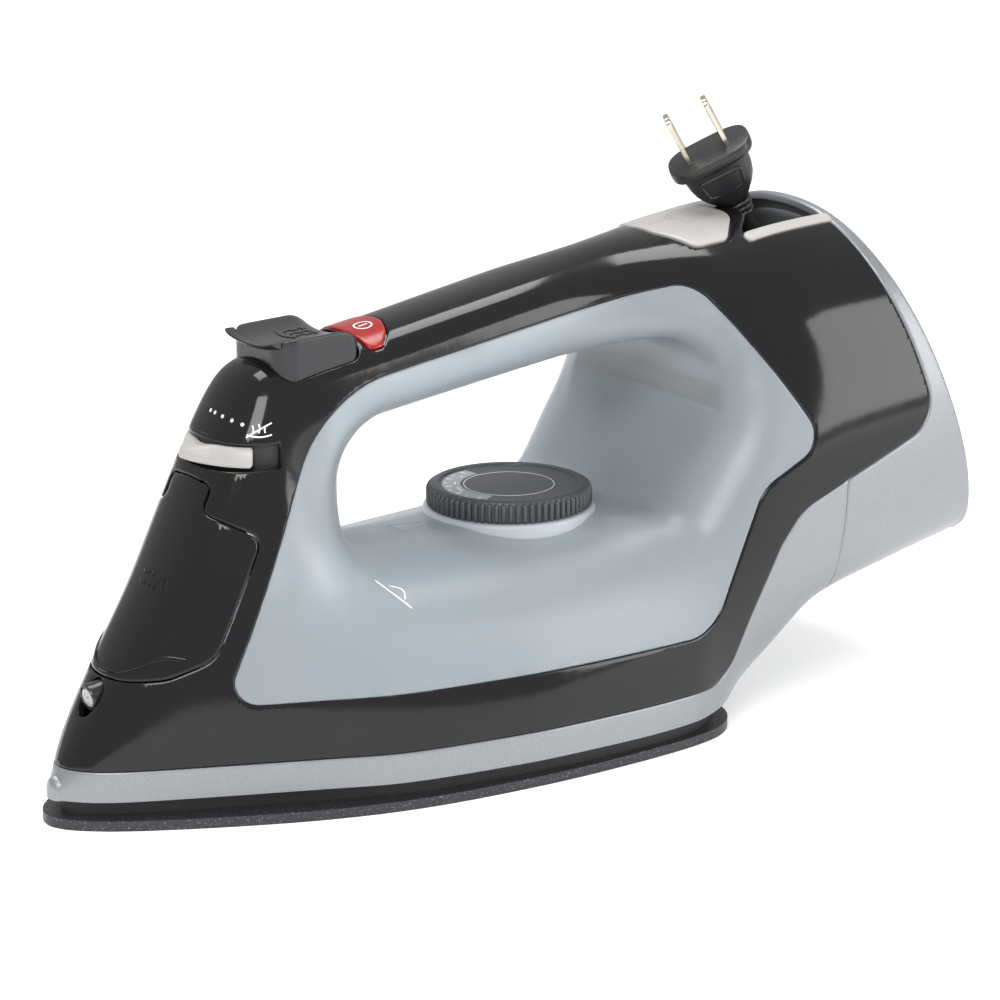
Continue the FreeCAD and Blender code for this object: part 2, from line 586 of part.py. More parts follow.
pump_top = 103 * kz
pump_low = 72 * kz
pumps, pistons, springs = [], [], []
for side in (-1, 1):
    at = Vector(pump_x, side * 7.0, pump_low)
    pump = cylinder(at, up, 5.6, pump_top - pump_low)
    pumps.append(pump.cut(cylinder(at + up * 2, up, piston_radius + fit, pump_top - pump_low)))
    piston = cylinder(Vector(pump_x, side * 7.0, 84 * kz), up, piston_radius, 20 * kz)
    collar_low = 112 * kz
    stem = cylinder(Vector(pump_x, side * 7.0, 104 * kz), up, 2.0, collar_low - 104 * kz)
    stem = stem.fuse(cylinder(Vector(pump_x, side * 7.0, collar_low), up, 5.0, 1.2 * kz))
    pistons.append(piston.fuse(stem).removeSplitter())
    springs.append(coil_spring(Vector(pump_x, side * 7.0, pump_top + 0.45), 4.8,
        collar_low - pump_top - 1.0, 1.9, 0.4))
save("pump_bodies", *pumps)
save("pump_pistons", *pistons)
save("pump_springs", *springs)

spray_path = [(Vector(pump_x - 2, -7, pump_low), 0), (Vector(pump_x - 2, -7, 58 * kz), 8),
    (v(-70, -1, 40), 6), (nozzle_from, 0)]
spray_tube = pipe(spray_path, 1.6)
save("spray_tube", spray_tube.cut(nozzle))
steam_path = [(Vector(pump_x + 1, 7, pump_low), 0), (v(-22.5, 7, 20), 0)]
steam_tube = pipe(steam_path, 1.8)
save("steam_tube", steam_tube)
save("fill_tray", fill_tray.cut(spray_tube))
save("tank_floor", tank_floor.cut(steam_tube))

# ---------------------------------------------------------------- power button, lamp and board
raised = outer.copy()
raised.translate(Vector(0, 0, 0.6))
power = raised.common(upright(power_corners, 123.6 * kz, 200))
save("power_button", power)
save("power_switch", box(-5, 2, -4, 4, 119.7, 122.4))
save("control_board", box(-6, 36, -9, 9, 118, 119.7))
save("indicator_lamp", post(12, 0, 119.7, 123.5, 1.6))

# ---------------------------------------------------------------- rewind button and brake
rewind = raised.common(upright(rewind_corners, 140 * kz, 200))
rewind = rewind.fuse(box(107.5, 111.5, -3, 3, 137.9, 141))
save("rewind_button", rewind)

# ---------------------------------------------------------------- cord reel
reel_at = v(160, 0, 92)
front = reel_at - rear * (reel_width / 2)
hub = tube(front, rear, reel_hub_radius, reel_hub_radius - 2.5, reel_width)
web = tube(front, rear, reel_hub_radius, reel_axle_radius + fit, 2.0)
boss = tube(front, rear, 7.0, reel_axle_radius + fit, reel_width)
flange_a = tube(front, rear, reel_flange_radius, reel_hub_radius - 2.5, 1.8)
flange_b = tube(front + rear * (reel_width - 1.8), rear, reel_flange_radius, reel_hub_radius - 2.5, 1.8)
save("cord_reel", hub.fuse([web, boss, flange_a, flange_b]).removeSplitter())

axle = cylinder(front - rear * 8, rear, reel_axle_radius, reel_width + 9.6)
axle = axle.fuse(cylinder(front - rear * 10, rear, 11, 2.5))
save("reel_axle", axle)

turns = []
pitch = cord_diameter + 0.1
for layer in range(cord_layers):
    for i in range(cord_turns):
        along = reel_width / 2 + (i - (cord_turns - 1) / 2) * pitch
        radius = reel_hub_radius + cord_diameter * (layer + 0.5)
        turns.append(Part.makeTorus(radius, cord_diameter / 2, front + rear * along, rear))
save("cord_winding", *turns)


def spiral(r0, r1, coils, thickness, height):
    """A flat spring strip wound in a spiral about +Z."""
    steps = int(coils * 12)
    loops = []
    for extra in (0.0, thickness):
        points = []
        for i in range(steps + 1):
            a = 2 * math.pi * coils * i / steps
            radius = r0 + (r1 - r0) * i / steps + extra
            points.append(Vector(radius * math.cos(a), radius * math.sin(a), 0))
        curve = Part.BSplineCurve()
        curve.interpolate(points)
        loops.append((curve.toShape(), points))
    first = Part.LineSegment(loops[0][1][0], loops[1][1][0]).toShape()
    last = Part.LineSegment(loops[0][1][-1], loops[1][1][-1]).toShape()
    wire = Part.Wire(Part.__sortEdges__([loops[0][0], last, loops[1][0], first]))
    return Part.Face(wire).extrude(Vector(0, 0, height))


mainspring = spiral(7.0, reel_hub_radius - 3.0, 7, 0.4, reel_width - 10)
save("mainspring", place(mainspring, front + rear * 5, rear))

slip_disc = tube(front + rear * (-1.6), rear, 38, 12, 1.6)
rings = [tube(front + rear * (-2.2), rear, r + 2, r - 2, 0.6) for r in (22, 32)]
save("slip_ring_disc", slip_disc)
save("slip_rings", *rings)
brushes = []
for r in (22, 32):
    spot = front - rear * 2.5 + Vector(0, r, 0)
    brushes.append(cylinder(spot, rear * -1, 1.5, 4.0))
save("contact_brushes", *brushes)
plate_corner = front - rear * 8.2
brush_plate = place(rounded_plan(0, 22, 16, 52, 4, 0, 2.0), plate_corner, rear)
brush_plate = brush_plate.cut(cylinder(front - rear * 20, rear, 11.4, 40))
save("brush_holder", brush_plate.cut(brushes[0]).cut(brushes[1]))

# ---------------------------------------------------------------- brake
brake_at = v(119, 0, 134)
lever = side_prism([(107, 137.4, 1), (120, 137, 3), (133, 134.2, 1), (133, 130.8, 0.5), (128, 130.8, 1),
    (120, 131, 3), (107, 134.6, 1)], half_width=2.5)
lever = lever.fuse(cylinder(brake_at + Vector(0, -4, 0), across, 3.2,
    8)).cut(cylinder(brake_at + Vector(0, -9, 0), across, 1.5 + fit, 18))
save("brake_lever", lever)
save("brake_pin", cylinder(brake_at + Vector(0, -9, 0), across, 1.5, 18))

# ---------------------------------------------------------------- cord exit, plug
raised_guide = outer.copy()
raised_guide.translate(Vector(0, 0, 0.6))
bars = [raised_guide.common(box(124.5, 155.5, low, low + 3.9, 138, 200)) for low in (-23.9, 20)]
save("cord_guide", *bars)
tray = upright(slot_corners, 136.2 * kz, 138 * kz).fuse(box(124.5, 154, -23.9, 23.9, 136.2,
    138).cut(box(0, 200, -19.9, 19.9, 0, 200)))
tray = tray.common(box(100, 154, -50, 50, 100, 200)).cut(box(100, 135.2, -3.4, 3.4, 100,
    200)).removeSplitter()
tail_hole = cylinder(v(147, 0, 120), up, cord_diameter / 2 + 1, 40)
save("cord_tray", tray.cut(tail_hole))

lean = math.radians(plug_lean)
plug_axis = Vector(-math.sin(lean), 0, math.cos(lean))
face_at = v(127, 0, 167)
plug_grip = 18.0
plug_neck = 7.0


def plug_section(length, width, z):
    """One rounded cross-section of the plug's grip."""
    a, b = length / 2, width / 2
    return rounded([(Vector(-a, -b, z), 3.5), (Vector(a, -b, z), 3.5), (Vector(a, b, z), 3.5),
        (Vector(-a, b, z), 3.5)])


def on_plug(shape):
    """Carries a shape built with the plug's face at the origin, blades up +Z, to where the plug rests."""
    out = shape.copy()
    out.rotate(Vector(), Vector(0, 0, 1), -plug_turn)
    out.rotate(Vector(), Vector(0, 1, 0), -plug_lean)
    out.translate(face_at)
    return out


flange = rounded_plan(0, 0, 27, 17, 5, -4.0, 0)
grip = Part.makeLoft([plug_section(22, 14, -4.0), plug_section(20, 12.5, -10.0),
    plug_section(12, 9.5, -plug_grip)], True, False)
neck = Part.makeCylinder(3.8, plug_neck, Vector(0, 0, -plug_grip - plug_neck))
plug = flange.fuse([grip, neck])
blades = []
for side in (-1, 1):
    blade = Part.makeBox(blade_thickness, blade_width, blade_length + 8,
        Vector(side * blade_spacing / 2 - blade_thickness / 2, -blade_width / 2, -8))
    hole = Part.makeCylinder(1.55, 10, Vector(side * blade_spacing / 2 - 5, 0, blade_length - 5),
        Vector(1, 0, 0))
    blades.append(blade.cut(hole))
plug = plug.cut(blades[0]).cut(blades[1])
save("plug_body", on_plug(plug))
save("plug_blades", *[on_plug(b) for b in blades])

tail_end = face_at - plug_axis * (plug_grip + plug_neck)
tail = pipe([(tail_end, 0), (tail_end - plug_axis * 6, 5), (v(147, 0, 138.5), 4),
    (Vector(147 * kx, 0, 134.5 * kz), 0)], cord_diameter / 2)
save("cord_tail", tail)

# ---------------------------------------------------------------- electrics
save("terminal_block", box(70, 84, -10, 10, 18, 27))
save("thermal_fuse", cylinder(v(62, 16, 19.2), Vector(1, 0, 0), 2.2, 14))
wires = []
for y in (-6, 0, 6):
    wires.append(pipe([(v(74, y, 27), 0), (v(74, y, 29.2), 0)], 0.9))
save("feed_wires", *wires)

screws = [screw(v(124, side * 49.0, 44), Vector(0, -side, 0), 12, 3.6) for side in (-1, 1)]
save("heel_screws", *screws)
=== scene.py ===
# %% [markdown]
# A steam iron with a clear water tank, built on the frame of its CAD model.
# Blender's part is the looks: the casing's sheen, the frosted tank, the small marks and mouldings.
# Lengths are in millimetres in this script, and become metres in the one place where a mesh is made.

# %% Load the frame
import math

import bmesh
import bpy
import numpy as np
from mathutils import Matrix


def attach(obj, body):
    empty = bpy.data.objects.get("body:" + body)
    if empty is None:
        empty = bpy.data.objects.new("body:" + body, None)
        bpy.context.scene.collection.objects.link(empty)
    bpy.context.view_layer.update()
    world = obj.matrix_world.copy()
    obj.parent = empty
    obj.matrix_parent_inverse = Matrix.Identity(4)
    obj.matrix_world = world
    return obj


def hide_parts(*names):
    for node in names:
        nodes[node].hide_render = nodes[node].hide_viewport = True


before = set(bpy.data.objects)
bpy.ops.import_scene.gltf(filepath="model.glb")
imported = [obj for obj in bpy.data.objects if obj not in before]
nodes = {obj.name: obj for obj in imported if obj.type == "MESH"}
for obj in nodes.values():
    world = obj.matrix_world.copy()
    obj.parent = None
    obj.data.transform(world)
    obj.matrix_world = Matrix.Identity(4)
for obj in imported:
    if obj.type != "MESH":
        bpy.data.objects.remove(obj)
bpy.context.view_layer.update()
MM = 0.001


# %% [markdown]
# The camera comes first, because everything is judged through it.
# It stands ahead of the nose and to one side, a metre away, and looks slightly down.

# %% Camera
CAMERA_AZIMUTH = math.radians(-36.0)
CAMERA_HEIGHT = math.radians(15.5)
CAMERA_DISTANCE = 1.050
CAMERA_TARGET = np.array([0.04868, 0.0, 0.06886])

away = np.array([
    math.sin(CAMERA_AZIMUTH) * math.cos(CAMERA_HEIGHT),
    -math.cos(CAMERA_AZIMUTH) * math.cos(CAMERA_HEIGHT),
    math.sin(CAMERA_HEIGHT),
])
camera_data = bpy.data.cameras.new("camera")
camera_data.lens = 125.9
camera = bpy.data.objects.new("camera", camera_data)
camera.location = CAMERA_TARGET + away * CAMERA_DISTANCE
camera.rotation_euler = (math.pi / 2 - CAMERA_HEIGHT, 0.0, CAMERA_AZIMUTH)
bpy.context.collection.objects.link(camera)
bpy.context.scene.camera = camera
print("camera at", [round(c, 3) for c in camera.location])


# %% [markdown]
# Shader sums read best as plain arithmetic, so one small class wraps a node socket.
# Every finish below is written with it.

# %% A wrapper for shader sockets
class Wire:
    """A socket of a shader tree that can be used in a sum."""

    def __init__(self, tree, socket):
        self.tree = tree
        self.socket = socket

    def maths(self, operation, other, swapped=False):
        first, second = (other, self) if swapped else (self, other)
        return add_node(self.tree, "ShaderNodeMath", {"operation": operation}, {0: first, 1: second})

    def __add__(self, other):
        return self.maths("ADD", other)

    __radd__ = __add__

    def __sub__(self, other):
        return self.maths("SUBTRACT", other)

    def __rsub__(self, other):
        return self.maths("SUBTRACT", other, True)

    def __mul__(self, other):
        return self.maths("MULTIPLY", other)

    __rmul__ = __mul__

    def __lt__(self, other):
        return self.maths("LESS_THAN", other)


def add_node(tree, kind, settings=None, values=None, out=0):
    """Makes one node: its settings first, then the values or links of its sockets."""
    node = tree.nodes.new(kind)
    for name, value in (settings or {}).items():
        if name == "stops":
            ramp = node.color_ramp
            while len(ramp.elements) < len(value):
                ramp.elements.new(0.5)
            for element, (place, colour) in zip(ramp.elements, value):
                element.position = place
                element.color = (*colour, 1.0)
        else:
            setattr(node, name, value)
    for key, value in (values or {}).items():
        socket = node.inputs[key]
        if isinstance(value, Wire):
            tree.links.new(value.socket, socket)
        else:
            socket.default_value = value
    return Wire(tree, node.outputs[out])


def blend(tree, amount, low, high):
    """Mixes two colours by an amount."""
    low = low if isinstance(low, Wire) else (*low, 1.0)
    high = high if isinstance(high, Wire) else (*high, 1.0)
    return add_node(tree, "ShaderNodeMix", {"data_type": "RGBA"}, {0: amount, 6: low, 7: high}, 2)


def place(tree):
    """Position on the piece, in metres."""
    node = tree.nodes.new("ShaderNodeTexCoord")
    return Wire(tree, node.outputs["Object"])


def noise(tree, scale, detail=2.0, stretch=None):
    """Fractal noise over the piece; scale is in features per metre."""
    where = place(tree)
    if stretch:
        where = add_node(tree, "ShaderNodeMapping", {}, {"Vector": where, "Scale": stretch})
    return add_node(tree, "ShaderNodeTexNoise", {}, {"Vector": where, "Scale": scale, "Detail": detail})


def finish(name, colour, rough, metal=0.0, grain=None, wear=None, **constants):
    """A finish whose colour, roughness and relief vary a little over the surface.

    grain is (scale, depth, roughness change); wear is (scale, other colour, amount).
    """
    material = bpy.data.materials.new(name)
    material.use_nodes = True
    tree = material.node_tree
    shader = tree.nodes["Principled BSDF"]
    shader.inputs["Base Color"].default_value = (*colour, 1.0)
    shader.inputs["Roughness"].default_value = rough
    shader.inputs["Metallic"].default_value = metal
    for key, value in constants.items():
        shader.inputs[key.replace("_", " ")].default_value = value
    if grain:
        scale, depth, change = grain
        speck = noise(tree, scale)
        tree.links.new((rough + (speck - 0.5) * change).socket, shader.inputs["Roughness"])
        bump = add_node(tree, "ShaderNodeBump", {}, {"Strength": 1.0, "Distance": depth, "Height": speck})
        tree.links.new(bump.socket, shader.inputs["Normal"])
    if wear:
        scale, other, amount = wear
        patch = noise(tree, scale, 4.0)
        tint = blend(tree, patch * amount, colour, other)
        tree.links.new(tint.socket, shader.inputs["Base Color"])
    return material


# %% [markdown]
# The finishes: piano-black mouldings, silver paint with fine flakes, frosted clear plastic,
# a speckled non-stick sole, and the greys of the dial and the slider.

# %% Plastics and paints
black_gloss = finish("black_gloss", (0.0075, 0.0075, 0.0085), 0.10, grain=(260, 0.00002, 0.05),
                     wear=(35, (0.014, 0.014, 0.016), 0.5), Specular_IOR_Level=0.34)
button_black = finish("button_black", (0.014, 0.0145, 0.017), 0.26, grain=(1400, 0.00003, 0.08),
                      wear=(60, (0.024, 0.024, 0.028), 0.5))
plug_rubber = finish("plug_rubber", (0.012, 0.0125, 0.0145), 0.34, grain=(2200, 0.00005, 0.12),
                     wear=(90, (0.022, 0.022, 0.025), 0.6))
warm_grey = finish("warm_grey", (0.40, 0.385, 0.37), 0.36, grain=(1800, 0.00003, 0.08),
                   wear=(70, (0.46, 0.45, 0.43), 0.6))
dial_grey = finish("dial_grey", (0.050, 0.053, 0.058), 0.42, grain=(1600, 0.00004, 0.10),
                   wear=(60, (0.075, 0.08, 0.085), 0.5))
heat_black = finish("heat_black", (0.016, 0.016, 0.018), 0.62, grain=(900, 0.00006, 0.12),
                    wear=(60, (0.03, 0.03, 0.032), 0.5))
white_nylon = finish("white_nylon", (0.62, 0.62, 0.60), 0.45, grain=(800, 0.00003, 0.08),
                     wear=(50, (0.5, 0.5, 0.49), 0.6))
print_white = finish("print_white", (0.86, 0.87, 0.88), 0.5, grain=(3000, 0.00001, 0.05),
                     wear=(400, (0.74, 0.75, 0.76), 0.5))
print_grey = finish("print_grey", (0.34, 0.35, 0.36), 0.5, grain=(3000, 0.00001, 0.05),
                    wear=(400, (0.26, 0.27, 0.28), 0.5))
board_green = finish("board_green", (0.02, 0.16, 0.07), 0.4, grain=(500, 0.00003, 0.06),
                     wear=(200, (0.03, 0.22, 0.1), 0.7))
steel = finish("steel", (0.58, 0.57, 0.55), 0.3, 1.0, grain=(900, 0.00002, 0.1),
    wear=(120, (0.48, 0.47, 0.45), 0.5))
nickel = finish("nickel", (0.66, 0.60, 0.50), 0.22, 1.0, grain=(700, 0.00002, 0.1),
    wear=(220, (0.50, 0.45, 0.37), 0.7))
brass = finish("brass", (0.72, 0.5, 0.2), 0.3, 1.0, grain=(700, 0.00002, 0.1),
    wear=(150, (0.6, 0.4, 0.16), 0.5))
alloy = finish("alloy", (0.56, 0.56, 0.57), 0.5, 1.0, grain=(600, 0.00008, 0.15),
    wear=(60, (0.46, 0.46, 0.47), 0.6))


# %% [markdown]
# Silver paint is a metal base with flakes finer than the eye quite resolves.
# A cell texture about a third of a millimetre across tips the normals a little, so highlights sparkle.

# %% Silver paint
silver = bpy.data.materials.new("silver_paint")
silver.use_nodes = True
tree = silver.node_tree
shader = tree.nodes["Principled BSDF"]
flakes = add_node(tree, "ShaderNodeTexVoronoi", {}, {"Vector": place(tree), "Scale": 3200.0}, 0)
cloud = noise(tree, 45, 3.0)
tone = blend(tree, flakes * 0.9 + (cloud - 0.5) * 0.2, (0.30, 0.31, 0.325), (0.22, 0.23, 0.245))
tree.links.new(tone.socket, shader.inputs["Base Color"])
tree.links.new((0.36 + flakes * 0.10).socket, shader.inputs["Roughness"])
relief = add_node(tree, "ShaderNodeBump", {}, {"Strength": 0.35, "Distance": 0.00003, "Height": flakes})
tree.links.new(relief.socket, shader.inputs["Normal"])
shader.inputs["Metallic"].default_value = 0.55
shader.inputs["Coat Weight"].default_value = 0.25
shader.inputs["Coat Roughness"].default_value = 0.15

# %% [markdown]
# The sole has a dark coat with pale specks. Two cell textures of different size give specks of
# two sizes, and the same mask makes them slightly glossier.

# %% Non-stick coat
nonstick = bpy.data.materials.new("nonstick_coat")
nonstick.use_nodes = True
tree = nonstick.node_tree
shader = tree.nodes["Principled BSDF"]
fine = add_node(tree, "ShaderNodeTexVoronoi", {}, {"Vector": place(tree), "Scale": 1500.0}, 0)
coarse = add_node(tree, "ShaderNodeTexVoronoi", {}, {"Vector": place(tree), "Scale": 620.0}, 0)
specks = add_node(tree, "ShaderNodeMath", {"operation": "MAXIMUM"}, {0: fine < 0.20, 1: coarse < 0.13})
coat = blend(tree, specks * 0.55, (0.035, 0.036, 0.04), (0.30, 0.30, 0.31))
tree.links.new(coat.socket, shader.inputs["Base Color"])
tree.links.new((0.44 - specks * 0.14).socket, shader.inputs["Roughness"])
relief = add_node(tree, "ShaderNodeBump", {}, {"Strength": 0.4, "Distance": 0.00004, "Height": fine})
tree.links.new(relief.socket, shader.inputs["Normal"])
shader.inputs["Metallic"].default_value = 0.35

# %% [markdown]
# The tank is a smoky clear plastic with a fine frosting, so shapes inside show only as soft shadows.
# Transmission with a high roughness does that; a faint colour change keeps large faces alive.

# %% Frosted clear plastic
frosted = finish("frosted_clear", (0.70, 0.76, 0.80), 0.34, grain=(900, 0.00002, 0.05),
                 wear=(25, (0.62, 0.69, 0.74), 0.7), Transmission_Weight=0.72, IOR=1.46)
inner_clear = finish("inner_clear", (0.70, 0.74, 0.78), 0.42, grain=(700, 0.00002, 0.05),
                     wear=(40, (0.6, 0.65, 0.7), 0.6), Transmission_Weight=0.4, IOR=1.46)
red_clear = finish("red_clear", (0.50, 0.018, 0.016), 0.22, grain=(900, 0.00002, 0.05),
                   wear=(80, (0.34, 0.01, 0.01), 0.6), Transmission_Weight=0.35, IOR=1.46)
print("materials", len(bpy.data.materials))


# %% [markdown]
# The casing is one smooth outer form that is cut into mouldings: black shell, clear tank, silver skirt
# and silver rear cover. It could be subdivision-modelled piece by piece, but then the gaps between
# neighbours would wander. Here the form is one fine grid, and each moulding is sliced out of it,
# so neighbours always share the same surface.

# %% Sections of the casing
SECTIONS = [
    (-105.0, [(3.6, 7.5), (3.8, 9), (3.8, 10.2), (3.6, 11.2), (3.2, 12), (2.6, 12.7), (1.9, 13.2),
        (1.2, 13.6), (0.6, 13.8), (0, 14)]),
    (-101.0, [(8.6, 7.5), (8.8, 10.5), (8.6, 13.5), (8.0, 16), (7.2, 18), (6.1, 19.8), (4.7, 21),
        (3.2, 21.8), (1.6, 22.2), (0, 22.4)]),
    (-93.0, [(14.2, 7.5), (14.5, 14), (14.0, 20), (13, 25), (11.6, 28.6), (9.8, 31.2), (7.8, 33),
        (5.4, 34.3), (2.7, 35), (0, 35.3)]),
    (-84.0, [(18.9, 7.5), (19.2, 16), (18.6, 24), (17.4, 31), (15.8, 37), (13.8, 41.6), (11.4, 45),
        (8.2, 47.4), (4.2, 48.8), (0, 49.2)]),
    (-72.0, [(24.5, 7.5), (24.8, 17), (24.2, 28), (22.4, 39), (20.2, 48), (17.6, 55), (14.8, 60.5),
        (11, 64.6), (5.8, 67), (0, 67.8)]),
    (-60.0, [(30, 7.5), (30.3, 17), (29.4, 32), (26.4, 47), (23.3, 60), (20.4, 71), (17.4, 80), (13, 87),
        (7, 91.2), (0, 92.4)]),
    (-50.0, [(34.5, 7.5), (34.8, 17), (33.6, 33), (29.6, 49), (25.6, 64), (22.2, 79), (19.2, 92),
        (15, 103.5), (8.4, 111.5), (0, 114)]),
    (-40.0, [(39, 7.5), (39.3, 17), (37.8, 33), (33, 49), (27.6, 64), (23.2, 80), (20, 97), (17, 112),
        (10.5, 121.6), (0, 124)]),
    (-20.0, [(47.6, 7.5), (47.8, 17), (46, 33), (40, 48.5), (30, 60), (21, 73), (18, 92), (18.5, 112),
        (13, 123.5), (0, 127)]),
    (0.0, [(52, 7.5), (52.2, 17), (50, 33), (43.6, 49), (31, 60.5), (18, 68), (16, 90), (18.8, 113),
        (13.6, 126), (0, 130)]),
    (30.0, [(56, 7.5), (56.2, 17), (54, 33), (47, 49.5), (34.5, 60.5), (20, 67.5), (16.5, 92), (19.2, 117),
        (14, 131), (0, 135)]),
    (60.0, [(57, 7.5), (57, 17), (55.2, 33), (49, 50), (38, 61.5), (25, 70.5), (18.5, 94), (19.8, 121),
        (14.4, 135.6), (0, 140)]),
    (80.0, [(55.5, 7.5), (56, 17), (55, 33), (51.6, 50), (45.6, 64), (37, 78), (29, 97), (23.5, 119),
        (16, 137), (0, 143)]),
    (95.0, [(49.5, 7.5), (51.5, 17), (53, 33), (53.2, 50), (51.2, 66), (47, 83), (39.6, 102), (31, 122),
        (19, 139), (0, 145)]),
    (112.0, [(40, 13), (46.4, 21), (51.6, 36), (54.4, 52), (54.8, 69), (52.4, 88), (46.4, 107), (37, 126),
        (22, 141.6), (0, 147)]),
    (135.0, [(38, 30.5), (47.4, 36.5), (53, 48), (55.6, 63), (56, 79), (54, 96), (48.6, 114.5), (38.6, 132),
        (22.4, 145), (0, 149)]),
    (165.0, [(37, 38), (47.6, 43.6), (53.4, 54.4), (56.4, 68), (57, 83), (55.2, 99), (49.4, 118),
        (38.4, 135), (21.6, 147), (0, 150.8)]),
    (202.0, [(36, 45), (47, 50.4), (53, 61), (56.2, 74), (56.8, 88), (55, 103), (49, 121), (38, 137.6),
        (21.4, 149), (0, 152.6)]),
]
REAR_FOOT = np.array([197.0, 44.0])
REAR_CREST = np.array([158.4, 151.0])
WINDOW = [(-66, 33.3, 6), (-24, 115, 40), (100, 134, 9), (129, 86, 8), (107, 75, 14), (89, 33.3, 16)]
OPENING = [(-15, 66.5, 9), (-15, 102, 17), (103, 118, 10), (103, 94, 24), (85, 66.5, 8)]
BLACK = [(-130, 16.4, 0), (96, 16.4, 14), (113, 56, 4), (121, 66.5, 16), (173, 87, 12), (154, 154, 0),
    (146, 175, 0), (-130, 175, 0)]
DOOR = [(-97, 40, 0), (-78.5, 41.6, 14), (-66, 46.5, 12), (-49.4, 78.4, 3.5), (-62, 85.4, 1.5),
    (-57.9, 94, 1.5),
        (-80, 94, 0), (-115, 60, 0)]
PARTING_X = 138.0
print("sections", len(SECTIONS))


# %% [markdown]
# Between the sections the form must flow without a kink, or gloss paint would show it.
# Each of the ten lines along the iron is a smooth curve through the sections, and is softened once more.
# Across the iron, a cubic spline runs through the ten points and their mirror images.

# %% Smooth lines through points
def steady(xs, ys, x):
    """Cubic interpolation that never overshoots its points."""
    slope = np.diff(ys) / np.diff(xs)
    tangent = np.zeros(len(xs))
    tangent[0], tangent[-1] = slope[0], slope[-1]
    same = slope[:-1] * slope[1:] > 0
    inner = np.zeros(len(slope) - 1)
    inner[same] = 2 * slope[:-1][same] * slope[1:][same] / (slope[:-1][same] + slope[1:][same])
    tangent[1:-1] = inner
    k = np.clip(np.searchsorted(xs, x, side="right") - 1, 0, len(xs) - 2)
    h = xs[k + 1] - xs[k]
    t = np.clip((x - xs[k]) / h, 0, 1)
    low = (1 + 2 * t) * (1 - t) ** 2 * ys[k] + t * (1 - t) ** 2 * h * tangent[k]
    return low + t * t * (3 - 2 * t) * ys[k + 1] + t * t * (t - 1) * h * tangent[k + 1]


def soften(values, width):
    """Softens a line of evenly spaced values, keeping its ends and its slope there."""
    reach = int(3 * width) + 1
    kernel = np.exp(-0.5 * (np.arange(-reach, reach + 1) / width) ** 2)
    start = 2 * values[0] - values[reach:0:-1]
    end = 2 * values[-1] - values[-2:-reach - 2:-1]
    return np.convolve(np.concatenate([start, values, end]), kernel / kernel.sum(), "valid")


def spline(points, count):
    """A natural cubic spline through points, sampled evenly along its length."""
    points = np.asarray(points, float)
    knots = np.concatenate([[0], np.cumsum(np.linalg.norm(np.diff(points, axis=0), axis=1))])
    n = len(points)
    h = np.diff(knots)
    matrix = np.eye(n)
    right = np.zeros((n, points.shape[1]))
    for i in range(1, n - 1):
        matrix[i, i - 1:i + 2] = h[i - 1], 2 * (h[i - 1] + h[i]), h[i]
        right[i] = 6 * ((points[i + 1] - points[i]) / h[i] - (points[i] - points[i - 1]) / h[i - 1])
    bend = np.linalg.solve(matrix, right)

    def at(s):
        k = np.clip(np.searchsorted(knots, s, side="right") - 1, 0, n - 2)
        a = ((knots[k + 1] - s) / h[k])[:, None]
        b = ((s - knots[k]) / h[k])[:, None]
        curve = ((a ** 3 - a) * bend[k] + (b ** 3 - b) * bend[k + 1]) * (h[k] ** 2)[:, None] / 6
        return a * points[k] + b * points[k + 1] + curve

    fine = at(np.linspace(0, knots[-1], 40 * n))
    along = np.concatenate([[0], np.cumsum(np.linalg.norm(np.diff(fine, axis=0), axis=1))])
    even = np.linspace(0, along[-1], count)
    return np.stack([np.interp(even, along, fine[:, c]) for c in range(points.shape[1])], 1)


STEP = 1.0
ROUND = 131
station_x = np.array([s[0] for s in SECTIONS])
table = np.array([s[1] for s in SECTIONS])
grid_x = np.arange(-105.0, 202.01, STEP)
lines = np.zeros((len(grid_x), 10, 2))
for i in range(10):
    for c in range(2):
        lines[:, i, c] = soften(steady(station_x, table[:, i, c], grid_x), 3.0)
lines[:, 9, 0] = 0.0


def half_section(line):
    """One side of a section, from the crest down to the bottom edge, on the -Y side."""
    loop = np.concatenate([line * [-1, 1], line[-2::-1]])
    whole = spline(loop, 2 * ROUND - 1)
    return whole[:ROUND][::-1]


form = np.zeros((len(grid_x), ROUND, 3))
for i, x in enumerate(grid_x):
    form[i, :, 0] = x
    form[i, :, 1:] = half_section(lines[i])
form[:, 0, 1] = 0.0
print("form grid", form.shape)

# %% [markdown]
# The nose ends in a small blunt face, which is closed with a few rounded rings.

# %% Nose cap
caps = []
for turn in np.linspace(math.pi / 2, 0.15, 6)[:-1]:
    ring = form[0].copy()
    ring[:, 0] -= 2.2 * math.sin(turn)
    ring[:, 1] *= max(math.cos(turn), 0.02)
    ring[:, 2] = 7.5 + (ring[:, 2] - 7.5) * (0.55 + 0.45 * math.cos(turn))
    caps.append(ring)
form = np.concatenate([np.array(caps), form])
grid_x = form[:, :, 0]
print("with nose", form.shape)


# %% [markdown]
# Behind the sole the casing also has an underside, which rises to the heel. It is a flat web between
# the two bottom edges, so the same grid gets a few more lines there.

# %% Underside of the heel
UNDER_FROM = 104.0
UNDER_LINES = 8
under = np.repeat(form[:, -1:, :], UNDER_LINES, axis=1)
under[:, :, 1] *= np.linspace(1, 0, UNDER_LINES + 1)[1:]
form = np.concatenate([form, under], axis=1)
print("with underside", form.shape)


# %% [markdown]
# A moulding's outline is a rounded polygon in side view. Its signed distance, negative inside,
# is what the form is sliced by.

